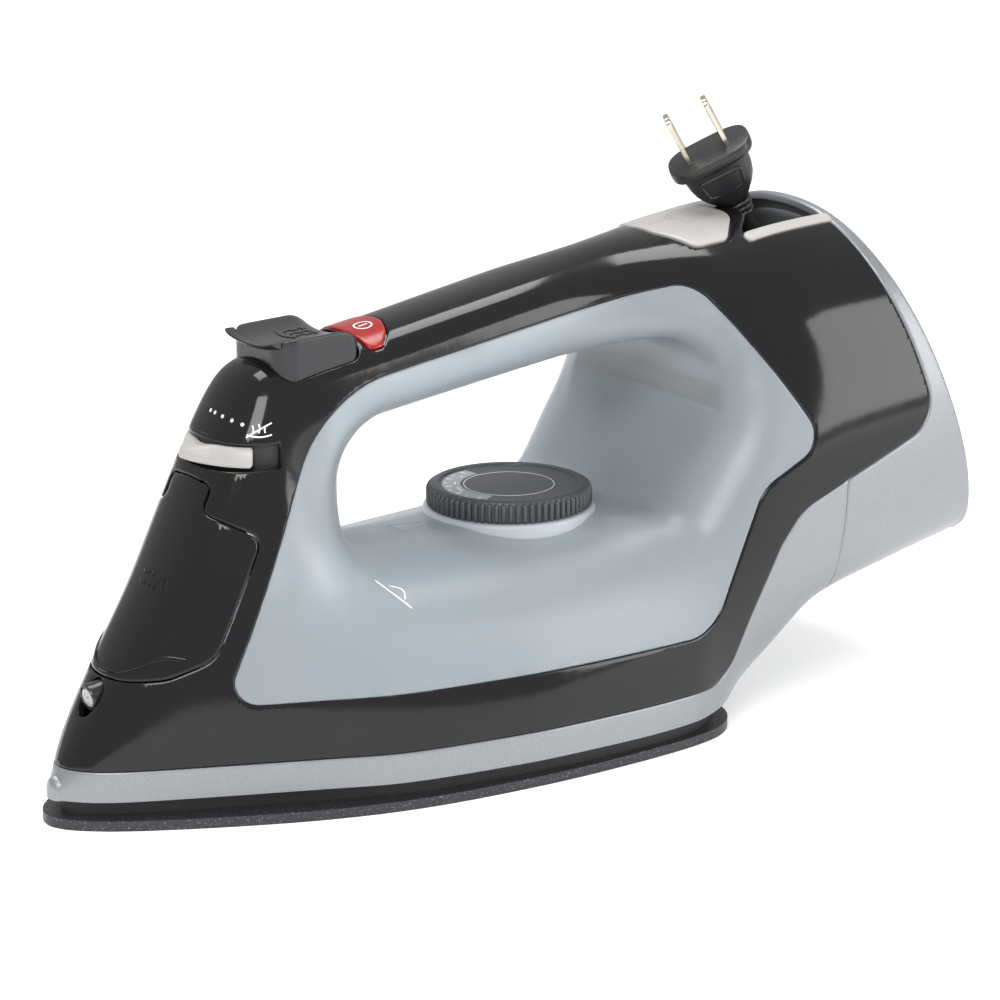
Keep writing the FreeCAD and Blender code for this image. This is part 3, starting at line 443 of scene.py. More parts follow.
# %% Outlines in side view
def rounded_loop(corners):
    """Points round a polygon whose corners are arcs."""
    points = []
    n = len(corners)
    for i, (x, z, r) in enumerate(corners):
        p = np.array([x, z], float)
        if r <= 0:
            points.append(p)
            continue
        a = np.array(corners[i - 1][:2], float) - p
        b = np.array(corners[(i + 1) % n][:2], float) - p
        la, lb = np.linalg.norm(a), np.linalg.norm(b)
        a, b = a / la, b / lb
        half = math.acos(np.clip(a @ b, -1, 1)) / 2
        cut = min(r / math.tan(half), 0.49 * la, 0.49 * lb)
        radius = cut * math.tan(half)
        middle = (a + b) / np.linalg.norm(a + b)
        centre = p + middle * cut / math.cos(half)
        first = p + a * cut - centre
        last = p + b * cut - centre
        start = math.atan2(first[1], first[0])
        sweep = (math.atan2(last[1], last[0]) - start + math.pi) % (2 * math.pi) - math.pi
        steps = max(4, int(abs(sweep) * radius / 0.8))
        for k in range(steps + 1):
            angle = start + sweep * k / steps
            points.append(centre + radius * np.array([math.cos(angle), math.sin(angle)]))
    return np.array(points)


def distance(loop, where):
    """Signed distance from points to a closed loop: negative inside."""
    out = np.empty(len(where))
    a = loop
    b = np.roll(loop, -1, axis=0)
    edge = b - a
    length2 = (edge ** 2).sum(1) + 1e-12
    for start in range(0, len(where), 4000):
        p = where[start:start + 4000, None, :]
        t = np.clip(((p - a) * edge).sum(2) / length2, 0, 1)
        gap = np.sqrt((((a + t[..., None] * edge) - p) ** 2).sum(2)).min(1)
        crosses = (a[:, 1] > p[..., 1]) != (b[:, 1] > p[..., 1])
        reach = a[:, 0] + (p[..., 1] - a[:, 1]) / (edge[:, 1] + 1e-12) * edge[:, 0]
        inside = (crosses & (p[..., 0] < reach)).sum(1) % 2 == 1
        out[start:start + 4000] = np.where(inside, -gap, gap)
    return out


outline = {name: rounded_loop(c) for name, c in
           (("window", WINDOW), ("opening", OPENING), ("black", BLACK), ("door", DOOR))}
for name, loop in outline.items():
    print("outline", name, len(loop), "points")

# %% Distances over the form
flat = form.reshape(-1, 3)
side = flat[:, [0, 2]]
FIELDS = {name: distance(loop, side) for name, loop in outline.items()}
rear_up = (REAR_CREST - REAR_FOOT) / np.linalg.norm(REAR_CREST - REAR_FOOT)
rear_out = np.array([rear_up[1], -rear_up[0]])
FIELDS["rear"] = (side - REAR_FOOT) @ rear_out
FIELDS["parting"] = flat[:, 0] - PARTING_X
print("fields", list(FIELDS))


# %% [markdown]
# Slicing keeps every value that a point carries, so a new point on a cut knows its distance
# to every other outline too. Only the faces that straddle the cut are worked on one by one.

# %% A sheet of faces that can be sliced
class Sheet:
    """Points with fields, and polygons on them."""

    def __init__(self, points, fields, faces):
        self.points = points
        self.fields = fields
        self.faces = faces

    def slice(self, value, keep_outside=False):
        """Cuts along value = 0, and drops the side where value is positive unless both are kept."""
        value = np.where(np.abs(value) < 1e-6, 1e-6, value)
        points = [self.points]
        columns = {k: [v] for k, v in self.fields.items()}
        made = {}
        new_points = []
        new_fields = {k: [] for k in self.fields}
        kept = []

        def crossing(i, j):
            key = (min(i, j), max(i, j))
            if key not in made:
                t = value[key[0]] / (value[key[0]] - value[key[1]])
                made[key] = len(self.points) + len(new_points)
                new_points.append(self.points[key[0]] * (1 - t) + self.points[key[1]] * t)
                for k, v in self.fields.items():
                    new_fields[k].append(v[key[0]] * (1 - t) + v[key[1]] * t)
            return made[key]

        positive = value > 0
        for face in self.faces:
            count = sum(positive[i] for i in face)
            if count == 0:
                kept.append(face)
                continue
            if count == len(face):
                if keep_outside:
                    kept.append(face)
                continue
            low, high = [], []
            for a, b in zip(face, face[1:] + face[:1]):
                (high if positive[a] else low).append(a)
                if positive[a] != positive[b]:
                    c = crossing(a, b)
                    low.append(c)
                    high.append(c)
            kept.append(tuple(low))
            if keep_outside:
                kept.append(tuple(high))
        if new_points:
            points.append(np.array(new_points))
            for k in columns:
                columns[k].append(np.array(new_fields[k]))
        return Sheet(np.concatenate(points), {k: np.concatenate(v) for k, v in columns.items()}, kept).tidy()

    def tidy(self):
        """Drops the points that no face uses."""
        used = np.zeros(len(self.points), bool)
        for face in self.faces:
            used[list(face)] = True
        index = np.cumsum(used) - 1
        faces = [tuple(int(index[i]) for i in face) for face in self.faces]
        return Sheet(self.points[used], {k: v[used] for k, v in self.fields.items()}, faces)


rows, columns = form.shape[:2]
quads = []
for i in range(rows - 1):
    reach = columns - 1 if grid_x[i, 0] >= UNDER_FROM else ROUND - 1
    for j in range(reach):
        a = i * columns + j
        quads.append((a, a + 1, a + columns + 1, a + columns))
casing = Sheet(flat, FIELDS, quads)
casing = casing.slice(casing.fields["rear"])
print("casing", len(casing.points), "points")


# %% [markdown]
# Where the iron is open for the hand, the casing turns inwards in a generous round, so the grip
# feels like one rounded bar. Extra cuts close to the edge give that round enough points.

# %% The rounded handle opening
HAND_ROUND = 13.0
body = casing.slice(-casing.fields["opening"])
for share in (0.004, 0.015, 0.04, 0.08, 0.14, 0.22, 0.32, 0.44, 0.6, 0.8, 1.0):
    body = body.slice(body.fields["opening"] - HAND_ROUND * share, keep_outside=True)


def turn_in(sheet):
    """Pulls the side of the form towards the middle near the opening."""
    width = -sheet.points[:, 1]
    radius = np.minimum(HAND_ROUND, 0.72 * width)
    share = np.clip(1 - sheet.fields["opening"] / HAND_ROUND, 0, 1)
    pull = radius * (1 - np.sqrt(np.clip(1 - share ** 2, 0, 1)))
    points = sheet.points.copy()
    points[:, 1] = -(width - np.where(width > 1.0, pull, 0))
    return Sheet(points, sheet.fields, sheet.faces)


body = turn_in(body)
print("body with its hand opening", len(body.points), "points")

# %% [markdown]
# The opening still needs its walls across the iron: the back of the column, the underside of the grip,
# the front of the reel housing and the deck. They start at the very points of the rounded edge,
# so there is no crack between side and wall.

# %% Walls of the hand opening
ACROSS = 9


def signed_flow(points, faces, target):
    """Tells whether the faces turn their outside towards a target (positive) or away from it."""
    index = np.array([f[:3] for f in faces])
    corner = points[index]
    normal = np.cross(corner[:, 1] - corner[:, 0], corner[:, 2] - corner[:, 0])
    return (normal * (target - corner.mean(1))).sum()


def add_walls(sheet):
    """Joins the opening's edge on this side to the plane of symmetry."""
    edge = np.where(np.abs(sheet.fields["opening"]) < 2e-5)[0]
    loop = outline["opening"]
    ahead = np.roll(loop, -1, axis=0) - loop
    length = np.linalg.norm(ahead, axis=1)
    start = np.concatenate([[0], np.cumsum(length)[:-1]])
    where = sheet.points[edge][:, [0, 2]]
    t = np.clip(((where[:, None] - loop) * ahead).sum(2) / length ** 2, 0, 1)
    gap = np.linalg.norm(loop + t[..., None] * ahead - where[:, None], axis=2)
    best = gap.argmin(1)
    order = np.argsort(start[best] + t[np.arange(len(edge)), best] * length[best])
    edge = edge[order]
    n = len(sheet.points)
    count = len(edge)
    rows = [edge]
    points = [sheet.points]
    fields = {k: [v] for k, v in sheet.fields.items()}
    for k in range(1, ACROSS + 1):
        row = sheet.points[edge].copy()
        row[:, 1] *= 1 - k / ACROSS
        rows.append(np.arange(count) + n + (k - 1) * count)
        points.append(row)
        for name, values in fields.items():
            values.append(sheet.fields[name][edge])
    faces = []
    for a, b in zip(rows, rows[1:]):
        for i in range(count):
            j = (i + 1) % count
            faces.append((int(a[i]), int(a[j]), int(b[j]), int(b[i])))
    points = np.concatenate(points)
    centre = np.array([42.0, 0.0, 90.0])
    outward = signed_flow(sheet.points, sheet.faces, np.array([40.0, 500.0, 60.0])) < 0
    if (signed_flow(points, faces, centre) > 0) != outward:
        faces = [tuple(reversed(f)) for f in faces]
    return Sheet(points, {k: np.concatenate(v) for k, v in fields.items()}, sheet.faces + faces)


body = add_walls(body)
print("body with walls", len(body.points), "points")


# %% [markdown]
# A moulding gets its wall and its softened edges here. Points near a part line sink a little along
# a quarter round, which is what makes neighbouring mouldings read as separate parts.
# The wall is the same sheet moved inwards, joined to the outside by a rim.

# %% From a sheet to a moulding
def normals_of(points, faces):
    """Area-weighted point normals."""
    total = np.zeros_like(points)
    by_size = {}
    for face in faces:
        by_size.setdefault(len(face), []).append(face)
    for group in by_size.values():
        index = np.array(group)
        corner = points[index]
        normal = np.zeros((len(index), 3))
        for k in range(1, index.shape[1] - 1):
            normal += np.cross(corner[:, k] - corner[:, 0], corner[:, k + 1] - corner[:, 0])
        for k in range(index.shape[1]):
            np.add.at(total, index[:, k], normal)
    return total / (np.linalg.norm(total, axis=1, keepdims=True) + 1e-12)


def make_mesh(name, points, faces, material, body_name="housing", smooth=True):
    """A finished object at the origin, in metres."""
    mesh = bpy.data.meshes.new(name)
    mesh.from_pydata((np.asarray(points) * MM).tolist(), [], [list(f) for f in faces])
    bm = bmesh.new()
    bm.from_mesh(mesh)
    bmesh.ops.remove_doubles(bm, verts=bm.verts, dist=2e-6)
    bmesh.ops.dissolve_degenerate(bm, edges=bm.edges, dist=1e-6)
    bmesh.ops.recalc_face_normals(bm, faces=bm.faces)
    bm.to_mesh(mesh)
    bm.free()
    mesh.materials.append(material)
    piece = bpy.data.objects.new(name, mesh)
    bpy.context.collection.objects.link(piece)
    if smooth:
        mesh.shade_smooth()
        mesh.set_sharp_from_angle(angle=math.radians(38))
    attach(piece, body_name)
    return piece


def mirrored(points, faces):
    """Adds the other half of a sheet."""
    n = len(points)
    other = points * [1, -1, 1]
    return np.concatenate([points, other]), faces + [tuple(i + n for i in reversed(f)) for f in faces]


def moulding(name, sheet, edges, wall, material, body_name="housing", edge_round=0.55, lift=0.0):
    """Thickens a half sheet and mirrors it. edges names the fields whose zero line is a part line."""
    near = np.full(len(sheet.points), 1e9)
    for field in edges:
        near = np.minimum(near, np.abs(sheet.fields[field]))
    for level in (0.06, 0.2, 0.55):
        sheet.fields["near"] = near
        sheet = sheet.slice(near - level * edge_round / 0.55, keep_outside=True)
        near = sheet.fields["near"]
    points, faces = mirrored(sheet.points, sheet.faces)
    near = np.concatenate([near, near])
    merged, index = np.unique(np.round(points, 5) + 0.0, axis=0, return_inverse=True)
    index = index.ravel()
    faces = [tuple(dict.fromkeys(int(index[i]) for i in f)) for f in faces]
    faces = [f for f in faces if len(f) > 2]
    depth = np.full(len(merged), 1e9)
    np.minimum.at(depth, index, near)
    normal = normals_of(merged, faces)
    if (normal * (merged - merged.mean(0))).sum() < 0:
        normal = -normal
        faces = [tuple(reversed(f)) for f in faces]
    share = np.clip(1 - depth / edge_round, 0, 1)
    sink = edge_round * (1 - np.sqrt(np.clip(1 - share ** 2, 0, 1)))
    outside = merged + normal * (lift - sink)[:, None]
    inside = merged - normal * wall
    n = len(merged)
    count = {}
    for f in faces:
        for a, b in zip(f, f[1:] + f[:1]):
            key = (min(a, b), max(a, b))
            count[key] = count.get(key, 0) + 1
    rim = []
    for f in faces:
        for a, b in zip(f, f[1:] + f[:1]):
            if count[(min(a, b), max(a, b))] == 1:
                rim.append((b, a, a + n, b + n))
    points = np.concatenate([outside, inside])
    faces = faces + [tuple(i + n for i in reversed(f)) for f in faces] + rim
    piece = make_mesh(name, points, faces, material, body_name)
    print(name, len(piece.data.polygons), "faces")
    return piece


# %% [markdown]
# The black shell covers the nose, the column, the top of the grip and the sides of the reel housing.
# It is open where the tank shows, at the filler door, round the steam button, at the slider and the
# nozzle, at the cord slot, and where the rewind and power buttons sit.

# %% Openings in the black shell, seen from above
BUTTON = [(-37, -14, 6), (-10, -14, 3), (-10, 14, 3), (-37, 14, 6)]
POWER_HALF = [(-8.2, 4, 9), (-6.9, 13.4, 1.5), (-2.2, 13.6, 1.5), (1.6, 9.5, 5), (4.2, 3, 8)]
REWIND_HALF = [(101, 6, 8), (107.2, 19.2, 4), (118.5, 20.5, 3), (129.3, 9, 12)]
SLOT = [(124.2, 20, 1), (158, 20, 0), (158, -20, 0), (124.2, -20, 1), (135, -9.5, 12), (135, 9.5, 12)]
BAR = [(124.2, -24, 0.5), (158, -24, 0), (158, -19.9, 0), (124.2, -19.9, 0)]


def both_sides(half):
    """A plan outline and its mirror image, as one loop."""
    return half + [(x, -y, r) for x, y, r in reversed(half)]


def plan_field(corners, grow, above):
    """Distance to a plan outline, for points above a height."""
    gap = distance(rounded_loop(corners), body.points[:, :2]) - grow
    return np.where(body.points[:, 2] > above, gap, 50.0)


body.fields["button"] = plan_field(BUTTON, 0.4, 104)
body.fields["power"] = plan_field(both_sides(POWER_HALF), 0.25, 118)
body.fields["rewind"] = plan_field(both_sides(REWIND_HALF), 0.35, 125)
body.fields["slot"] = np.minimum(plan_field(SLOT, 0.0, 136), plan_field(BAR, 0.0, 136))

# %% The slider's track and the nozzle's hole
SLIDER_AXIS = np.array([-36.5, 0.0])
SLIDER_MIDDLE = 100.4
TRACK_END = math.radians(77)
NOZZLE_FROM = np.array([-80.0, 0.0, 37.6])
NOZZLE_AXIS = np.array([-13.4, 0.0, -2.8]) / math.hypot(13.4, 2.8)


def track_field(points):
    """Distance to the slot in the column that the slider's band runs in."""
    angle = np.arctan2(np.abs(points[:, 1]), SLIDER_AXIS[0] - points[:, 0])
    return np.maximum(np.abs(points[:, 2] - SLIDER_MIDDLE) - 3.4, (angle - TRACK_END) * 20)


def nozzle_field(points):
    """Distance to the round hole that the spray nozzle comes through."""
    away = points - NOZZLE_FROM
    out = np.linalg.norm(away - np.outer(away @ NOZZLE_AXIS, NOZZLE_AXIS), axis=1) - 4.3
    return np.where(points[:, 0] < -84, out, 50.0)


body.fields["track"] = track_field(body.points)
body.fields["nozzle"] = nozzle_field(body.points)
casing.fields["nozzle"] = nozzle_field(casing.points)

# %% Black shell
black_sheet = body.slice(body.fields["black"] + 0.08)
black_sheet = black_sheet.slice(-black_sheet.fields["window"] + 0.08)
black_sheet = black_sheet.slice(-black_sheet.fields["door"] + 0.25)
for opening_name in ("button", "slot", "rewind", "power", "track", "nozzle"):
    black_sheet = black_sheet.slice(-black_sheet.fields[opening_name] + 0.15)
SHELL_EDGES = ["black", "window", "door", "button", "slot", "rewind", "power", "track", "nozzle"]
shell = moulding("black_shell", black_sheet, SHELL_EDGES, 2.2, black_gloss, edge_round=0.7)
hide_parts("body_shell")

# %% [markdown]
# The clear tank shows through the black shell's window, and turns under the grip and over the deck.

# %% Clear tank
tank_sheet = body.slice(body.fields["window"] + 0.08)
tank = moulding("clear_tank", tank_sheet, ["window"], 1.8, frosted, edge_round=0.4, lift=-0.25)
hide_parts("water_tank", "grip_insert")

# %% [markdown]
# The filler door is the part of the same form inside its outline, with a tongue under the slider.

# %% Filler door
door_sheet = casing.slice(casing.fields["door"] + 0.1)
door_sheet = door_sheet.slice(-door_sheet.fields["nozzle"] + 0.3)
door = moulding("filler_door", door_sheet, ["door", "nozzle"], 2.0, black_gloss, "door", edge_round=0.8)
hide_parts("water_door")

# %% Silver skirt and rear cover
skirt_sheet = casing.slice(-casing.fields["black"] + 0.08)
skirt_sheet = skirt_sheet.slice(skirt_sheet.fields["parting"] + 0.15)
skirt = moulding("silver_skirt", skirt_sheet, ["black", "parting"], 2.2, silver)
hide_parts("base_skirt")

cover_sheet = casing.slice(-casing.fields["black"] + 0.08)
cover_sheet = cover_sheet.slice(-cover_sheet.fields["parting"] + 0.15)


def add_rear_face(sheet):
    """Closes the heel with a flat face whose middle is set in a little."""
    edge = np.where(np.abs(sheet.fields["rear"]) < 2e-5)[0]
    centre = np.array([*(REAR_FOOT + (REAR_CREST - REAR_FOOT) * 0.5), 0.0])[[0, 2, 1]]
    along = np.array([rear_up[0], 0, rear_up[1]])
    out = np.array([rear_out[0], 0, rear_out[1]])
    away = sheet.points[edge] - centre
    edge = edge[np.argsort(np.arctan2(-away[:, 1], away @ along))]
    n, count = len(sheet.points), len(edge)
    rows, points = [edge], [sheet.points]
    fields = {k: [v] for k, v in sheet.fields.items()}
    rings = ((0.995, 0), (0.985, 0), (0.965, 0), (0.93, 0), (0.90, 0), (0.893, 0.12), (0.883, 0.6),
        (0.876, 0.95),
             (0.868, 1.0), (0.75, 1.0), (0.55, 1.0), (0.3, 1.0), (0.0, 1.0))
    for k, (scale, depth) in enumerate(rings):
        rim = sheet.points[edge] - centre
        points.append(centre + rim * scale - out * depth)
        rows.append(np.arange(count) + n + k * count)
        for name, values in fields.items():
            values.append(np.full(count,
                (1 - scale) * 50.0) if name == "rear" else sheet.fields[name][edge] * 0 + 50)
    faces = []
    for a, b in zip(rows, rows[1:]):
        for i in range(count - 1):
            faces.append((int(a[i]), int(a[i + 1]), int(b[i + 1]), int(b[i])))
    points = np.concatenate(points)
    outward = signed_flow(sheet.points, sheet.faces, np.array([160.0, 500.0, 90.0])) < 0
    if (signed_flow(points, faces, centre + out * 500) > 0) != outward:
        faces = [tuple(reversed(f)) for f in faces]
    return Sheet(points, {k: np.concatenate(v) for k, v in fields.items()}, sheet.faces + faces)


cover_sheet = add_rear_face(cover_sheet)
rear_cover = moulding("rear_cover_shell", cover_sheet, ["black", "parting", "rear"], 2.2, silver,
    edge_round=0.9)
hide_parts("rear_cover")


# %% [markdown]
# Small mouldings are lofts: a closed loop of points is repeated at several heights, a little smaller
# or larger each time, and neighbouring loops are joined. A bevel is then just a few close loops.

# %% Lofts and plan loops
def even_loop(corners, count):
    """A rounded outline as evenly spaced points."""
    loop = rounded_loop(corners)
    closed = np.concatenate([loop, loop[:1]])
    along = np.concatenate([[0], np.cumsum(np.linalg.norm(np.diff(closed, axis=0), axis=1))])
    where = np.linspace(0, along[-1], count, endpoint=False)
    return np.stack([np.interp(where, along, closed[:, c]) for c in range(2)], 1)


def inset(loop, depth):
    """Moves a plan loop towards its inside."""
    ahead = np.roll(loop, -1, axis=0) - np.roll(loop, 1, axis=0)
    ahead /= np.linalg.norm(ahead, axis=1, keepdims=True)
    side = np.stack([-ahead[:, 1], ahead[:, 0]], 1)
    middle = loop.mean(0)
    if ((middle - loop) * side).sum() < 0:
        side = -side
    return loop + side * depth


def at_height(loop, z):
    """A plan loop lifted to a height, or to one height for each point."""
    return np.column_stack([loop, np.broadcast_to(z, len(loop))])


def loft(rings, start=True, end=True):
    """Points and faces of a row of equal loops, closed at its ends."""
    count = len(rings[0])
    points = np.concatenate([np.asarray(r, float) for r in rings])
    faces = []
    for k in range(len(rings) - 1):
        for i in range(count):
            j = (i + 1) % count
            faces.append((k * count + i, k * count + j, (k + 1) * count + j, (k + 1) * count + i))
    if start:
        faces.append(tuple(range(count - 1, -1, -1)))
    if end:
        faces.append(tuple(range((len(rings) - 1) * count, len(rings) * count)))
    return points, faces


def joined(parts):
    """Several sets of points and faces as one."""
    points, faces, n = [], [], 0
    for p, f in parts:
        points.append(np.asarray(p, float))
        faces += [tuple(i + n for i in face) for face in f]
        n += len(p)
    return np.concatenate(points), faces


def pillow(loop, low, top, bevel, height_at, shrink=14):
    """A button: an upright wall, a rounded edge, and a top that follows a surface."""
    rings = [at_height(loop, low)]
    edge = height_at(loop[:, 0], loop[:, 1]) + top
    for share in (0.25, 0.6, 0.9):
        rings.append(at_height(loop, low + (edge - bevel - low) * share))
    for turn in np.linspace(0, math.pi / 2, 6):
        ring = inset(loop, bevel * (1 - math.cos(turn)))
        rings.append(at_height(ring, height_at(ring[:, 0], ring[:, 1]) + top - bevel * (1 - math.sin(turn))))
    start = inset(loop, bevel)
    middle = start.mean(0)
    for k in range(1, shrink + 1):
        ring = middle + (start - middle) * max(1 - k / shrink, 0.002)
        rings.append(at_height(ring, height_at(ring[:, 0], ring[:, 1]) + top))
    return loft(rings)


def add_piece(name, parts, material, body_name, slot, *replaced):
    """One finished piece from points and faces, attached to its body, with the CAD pieces it replaces hidden."""
    points, faces = parts
    piece = make_mesh(name, points, faces, material, body_name)
    if replaced:
        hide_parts(*replaced)
    print(name, len(faces), "faces")
    return piece


# %% [markdown]
# Marks and raised symbols are thin ribbons that lie on a surface. A ray cast finds the surface under
# each point, so one helper serves flat buttons and curved shells alike.

# %% Ribbons on a surface
from mathutils import Vector
from mathutils.bvhtree import BVHTree


def surface_of(piece):
    """A search tree of a piece's mesh, in millimetres."""
    mesh = piece.data
    points = [v.co / MM for v in mesh.vertices]
    return BVHTree.FromPolygons(points, [p.vertices[:] for p in mesh.polygons])


def drop(tree, points, direction, reach=12.0):
    """Where points land on a surface, and the surface's normals there."""
    hits, normals = [], []
    direction = Vector(direction).normalized()
    for p in points:
        hit = tree.ray_cast(Vector(p) - direction * reach, direction, 4 * reach)
        if hit[0] is None:
            continue
        normal = hit[1] if hit[1].dot(direction) < 0 else -hit[1]
        hits.append(hit[0])
        normals.append(normal)
    return np.array(hits), np.array(normals)


def ribbon(tree, points, direction, width, height=0.06, sunk=0.25, closed=False):
    """A closed strip along a line on a surface."""
    hits, normals = drop(tree, points, direction)
    if len(hits) < 2:
        return np.zeros((0, 3)), []
    ahead = np.gradient(hits, axis=0)
    if closed:
        ahead = np.roll(hits, -1, axis=0) - np.roll(hits, 1, axis=0)
    ahead /= np.linalg.norm(ahead, axis=1, keepdims=True) + 1e-9
    side = np.cross(normals, ahead)
    side /= np.linalg.norm(side, axis=1, keepdims=True) + 1e-9
    rings = []
    for h, n, s in zip(hits, normals, side):
        half = width / 2
        rings.append([h - s * half - n * sunk, h + s * half - n * sunk, h + s * half + n * height * 0.6,
                      h + s * half * 0.7 + n * height, h - s * half * 0.7 + n * height,
                      h - s * half + n * height * 0.6])
    if closed:
        rings.append(rings[0])
    return loft(rings, not closed, not closed)


def dot(tree, at, direction, radius, height=0.06):
    """A small disc on a surface."""
    hits, normals = drop(tree, [at], direction)
    if not len(hits):
        return np.zeros((0, 3)), []
    n = normals[0]
    u = np.cross(n, [0, 0, 1] if abs(n[2]) < 0.9 else [1, 0, 0])
    u /= np.linalg.norm(u)
    w = np.cross(n, u)
    turns = np.linspace(0, 2 * math.pi, 24, endpoint=False)
    circle = np.array([u * math.cos(a) + w * math.sin(a) for a in turns])
    rings = [hits[0] + circle * radius - n * 0.3, hits[0] + circle * radius + n * height * 0.5,
             hits[0] + circle * radius * 0.85 + n * height]
    return loft(rings)


def curve_through(points, count=24):
    """A smooth line through a few points."""
    return spline(np.asarray(points, float), count)


shell_tree = surface_of(shell)
tank_tree = surface_of(tank)
print("surfaces ready")


# %% [markdown]
# The steam button is a tall block with a hollow top that guides the thumb. Its rear edge falls away
# in a large round, and a thin lip stands out over the front.

# %% Steam button
BUTTON_TOP = 131.6


def button_surface(x, y):
    """Height of the button's hollow top, from its highest edge."""
    hollow = 1.9 * (1 - np.clip(np.abs(y) / 13.0, 0, 1) ** 2.2)
    fall = np.clip(x + 17.5, 0, 7.5)
    return -hollow - (7.5 - np.sqrt(7.5 ** 2 - fall ** 2)) * 0.95 + 0.035 * (x + 23)


button_loop = even_loop(BUTTON, 200)
button_body = pillow(button_loop, 113.0, BUTTON_TOP, 0.55, button_surface)
LIP_PROFILE = [
    (-36.0, -2.0), (-37.2, -1.7), (-38.4, -1.15), (-39.4, -0.75), (-39.7, -0.4), (-39.4, -0.05), (-38.6, 0.0),
    (-36.0, -0.05),
]
lip_rings = []
for x_out, drop_z in LIP_PROFILE:
    across = np.linspace(-12.6, 12.6, 41)
    pull = 0.8 * np.clip((np.abs(across) - 9.0) / 3.6, 0, 1) ** 2 * (x_out < -37)
    lip_height = BUTTON_TOP + button_surface(np.full(41, -36.5), across) + drop_z
    lip_rings.append(np.column_stack([np.full(41, x_out) + pull, across, lip_height]))
lip_rings = np.array(lip_rings).transpose(1, 0, 2)
add_piece("steam_button_cap", joined([button_body, loft(list(lip_rings))]), button_black, "button",
          "black_gloss_plastic", "steam_button")
button_tree = surface_of(bpy.data.objects["steam_button_cap"])

# %% Raised steam symbol on the button
symbol = []
for k in range(3):
    y = -3.4 + 3.4 * k
    wave = [(-25.0 + 1.7 * i, y + 0.55 * (1 if i % 2 else -1), 140) for i in range(5)]
    symbol.append(ribbon(button_tree, curve_through(wave, 22), (0, 0, -1), 0.75, 0.28))
    tip = [(-19.6, y - 1.3, 140), (-17.9, y, 140), (-19.6, y + 1.3, 140)]
    symbol.append(ribbon(button_tree, curve_through(tip, 9), (0, 0, -1), 0.6, 0.28))
base = [(-26.6, -5.2, 140), (-27.6, 0, 140), (-26.6, 5.2, 140)]
symbol.append(ribbon(button_tree, curve_through(base, 16), (0, 0, -1), 0.75, 0.28))
add_piece("button_symbol", joined(symbol), button_black, "button", "black_gloss_plastic")


# %% [markdown]
# The slider is a band that hugs the column, with a thumb tab at its middle. It is a sweep about the
# axis it turns on: one rounded cross-section whose reach changes with the angle.

# %% Steam slider
SLIDER_END = math.radians(54)
slider_rings = []
for angle in np.linspace(-SLIDER_END, SLIDER_END, 121):
    thumb = math.cos(min(abs(angle) / math.radians(25), 1) * math.pi / 2) ** 2
    ending = 1 - max(0, (abs(angle) / SLIDER_END - 0.955) / 0.045) ** 2 * 0.35
    half = (2.75 - 0.7 * thumb) * ending
    outer = 21.1 + 3.9 * thumb
    inner = 18.6
    profile = [(inner, -half), (outer - 0.7 - 1.3 * thumb, -half), (outer - 0.2 - 0.5 * thumb, -half * 0.76),
               (outer, -half * 0.4), (outer, half * 0.4), (outer - 0.2 - 0.5 * thumb, half * 0.76),
               (outer - 0.7 - 1.3 * thumb, half), (inner, half)]
    slider_rings.append([(SLIDER_AXIS[0] - (r - 0.34 * z) * math.cos(angle), (r - 0.34 * z) * math.sin(angle),
                          SLIDER_MIDDLE + z) for r, z in profile])
add_piece("slider_band", loft(slider_rings), warm_grey, "slider", "warm_grey_plastic", "steam_slider")
rounding = bpy.data.objects["slider_band"].modifiers.new("round", "BEVEL")
rounding.width = 0.0003
rounding.segments = 3
rounding.angle_limit = math.radians(50)


# %% [markdown]
# Behind the band runs a dark wall, so that nobody looks into the hollow column through the slot.

# %% Track behind the slider
track_rings = []
for angle in np.linspace(-TRACK_END - 0.05, TRACK_END + 0.05, 81):
    track_rings.append([(SLIDER_AXIS[0] - r * math.cos(angle), r * math.sin(angle), z)
                        for r, z in ((16.6, 94.6), (17.9, 94.6), (17.9, 105.4), (16.6, 105.4))])
add_piece("slider_track", loft(track_rings), heat_black, "housing", "black_gloss_plastic")


# %% [markdown]
# The power button and the rewind button follow the handle's own surface and stand a little proud of it.
# They are cut from the same form as the shell, so their edges meet it evenly all round.

# %% Power and rewind buttons
def proud_button(name, corners, above, lift, material, body_name, slot_name, *replaced):
    """A piece of the casing inside a plan outline, raised a little."""
    gap = distance(rounded_loop(corners), casing.points[:, :2])
    field = np.where(casing.points[:, 2] > above, gap, 50.0)
    start = Sheet(casing.points, {**casing.fields, "edge": field}, casing.faces)
    patch = start.slice(start.fields["edge"])
    piece = moulding(name, patch, ["edge"], 2.6, material, body_name, edge_round=0.6, lift=lift)
    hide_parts(*replaced)
    return piece


power = proud_button("power_cap", both_sides(POWER_HALF), 118, 0.35, red_clear, "power",
                     "red_clear_plastic", "power_button")
rewind = proud_button("rewind_cap", both_sides(REWIND_HALF), 125, 0.45, warm_grey, "rewind",
                      "warm_grey_plastic", "rewind_button")
power_tree = surface_of(power)
rewind_tree = surface_of(rewind)

turns = np.linspace(0, 2 * math.pi, 40, endpoint=False)
ring_mark = [(-2.2 + 2.6 * math.cos(a), -3.0 + 2.6 * math.sin(a), 150) for a in turns]
bar_mark = [(-3.6 + 0.28 * i, -3.0, 150) for i in range(11)]
power_marks = [ribbon(power_tree, ring_mark, (0, 0, -1), 0.5, closed=True),
               ribbon(power_tree, bar_mark, (0, 0, -1), 0.5)]
add_piece("power_mark", joined(power_marks), print_white, "power", "white_plastic")

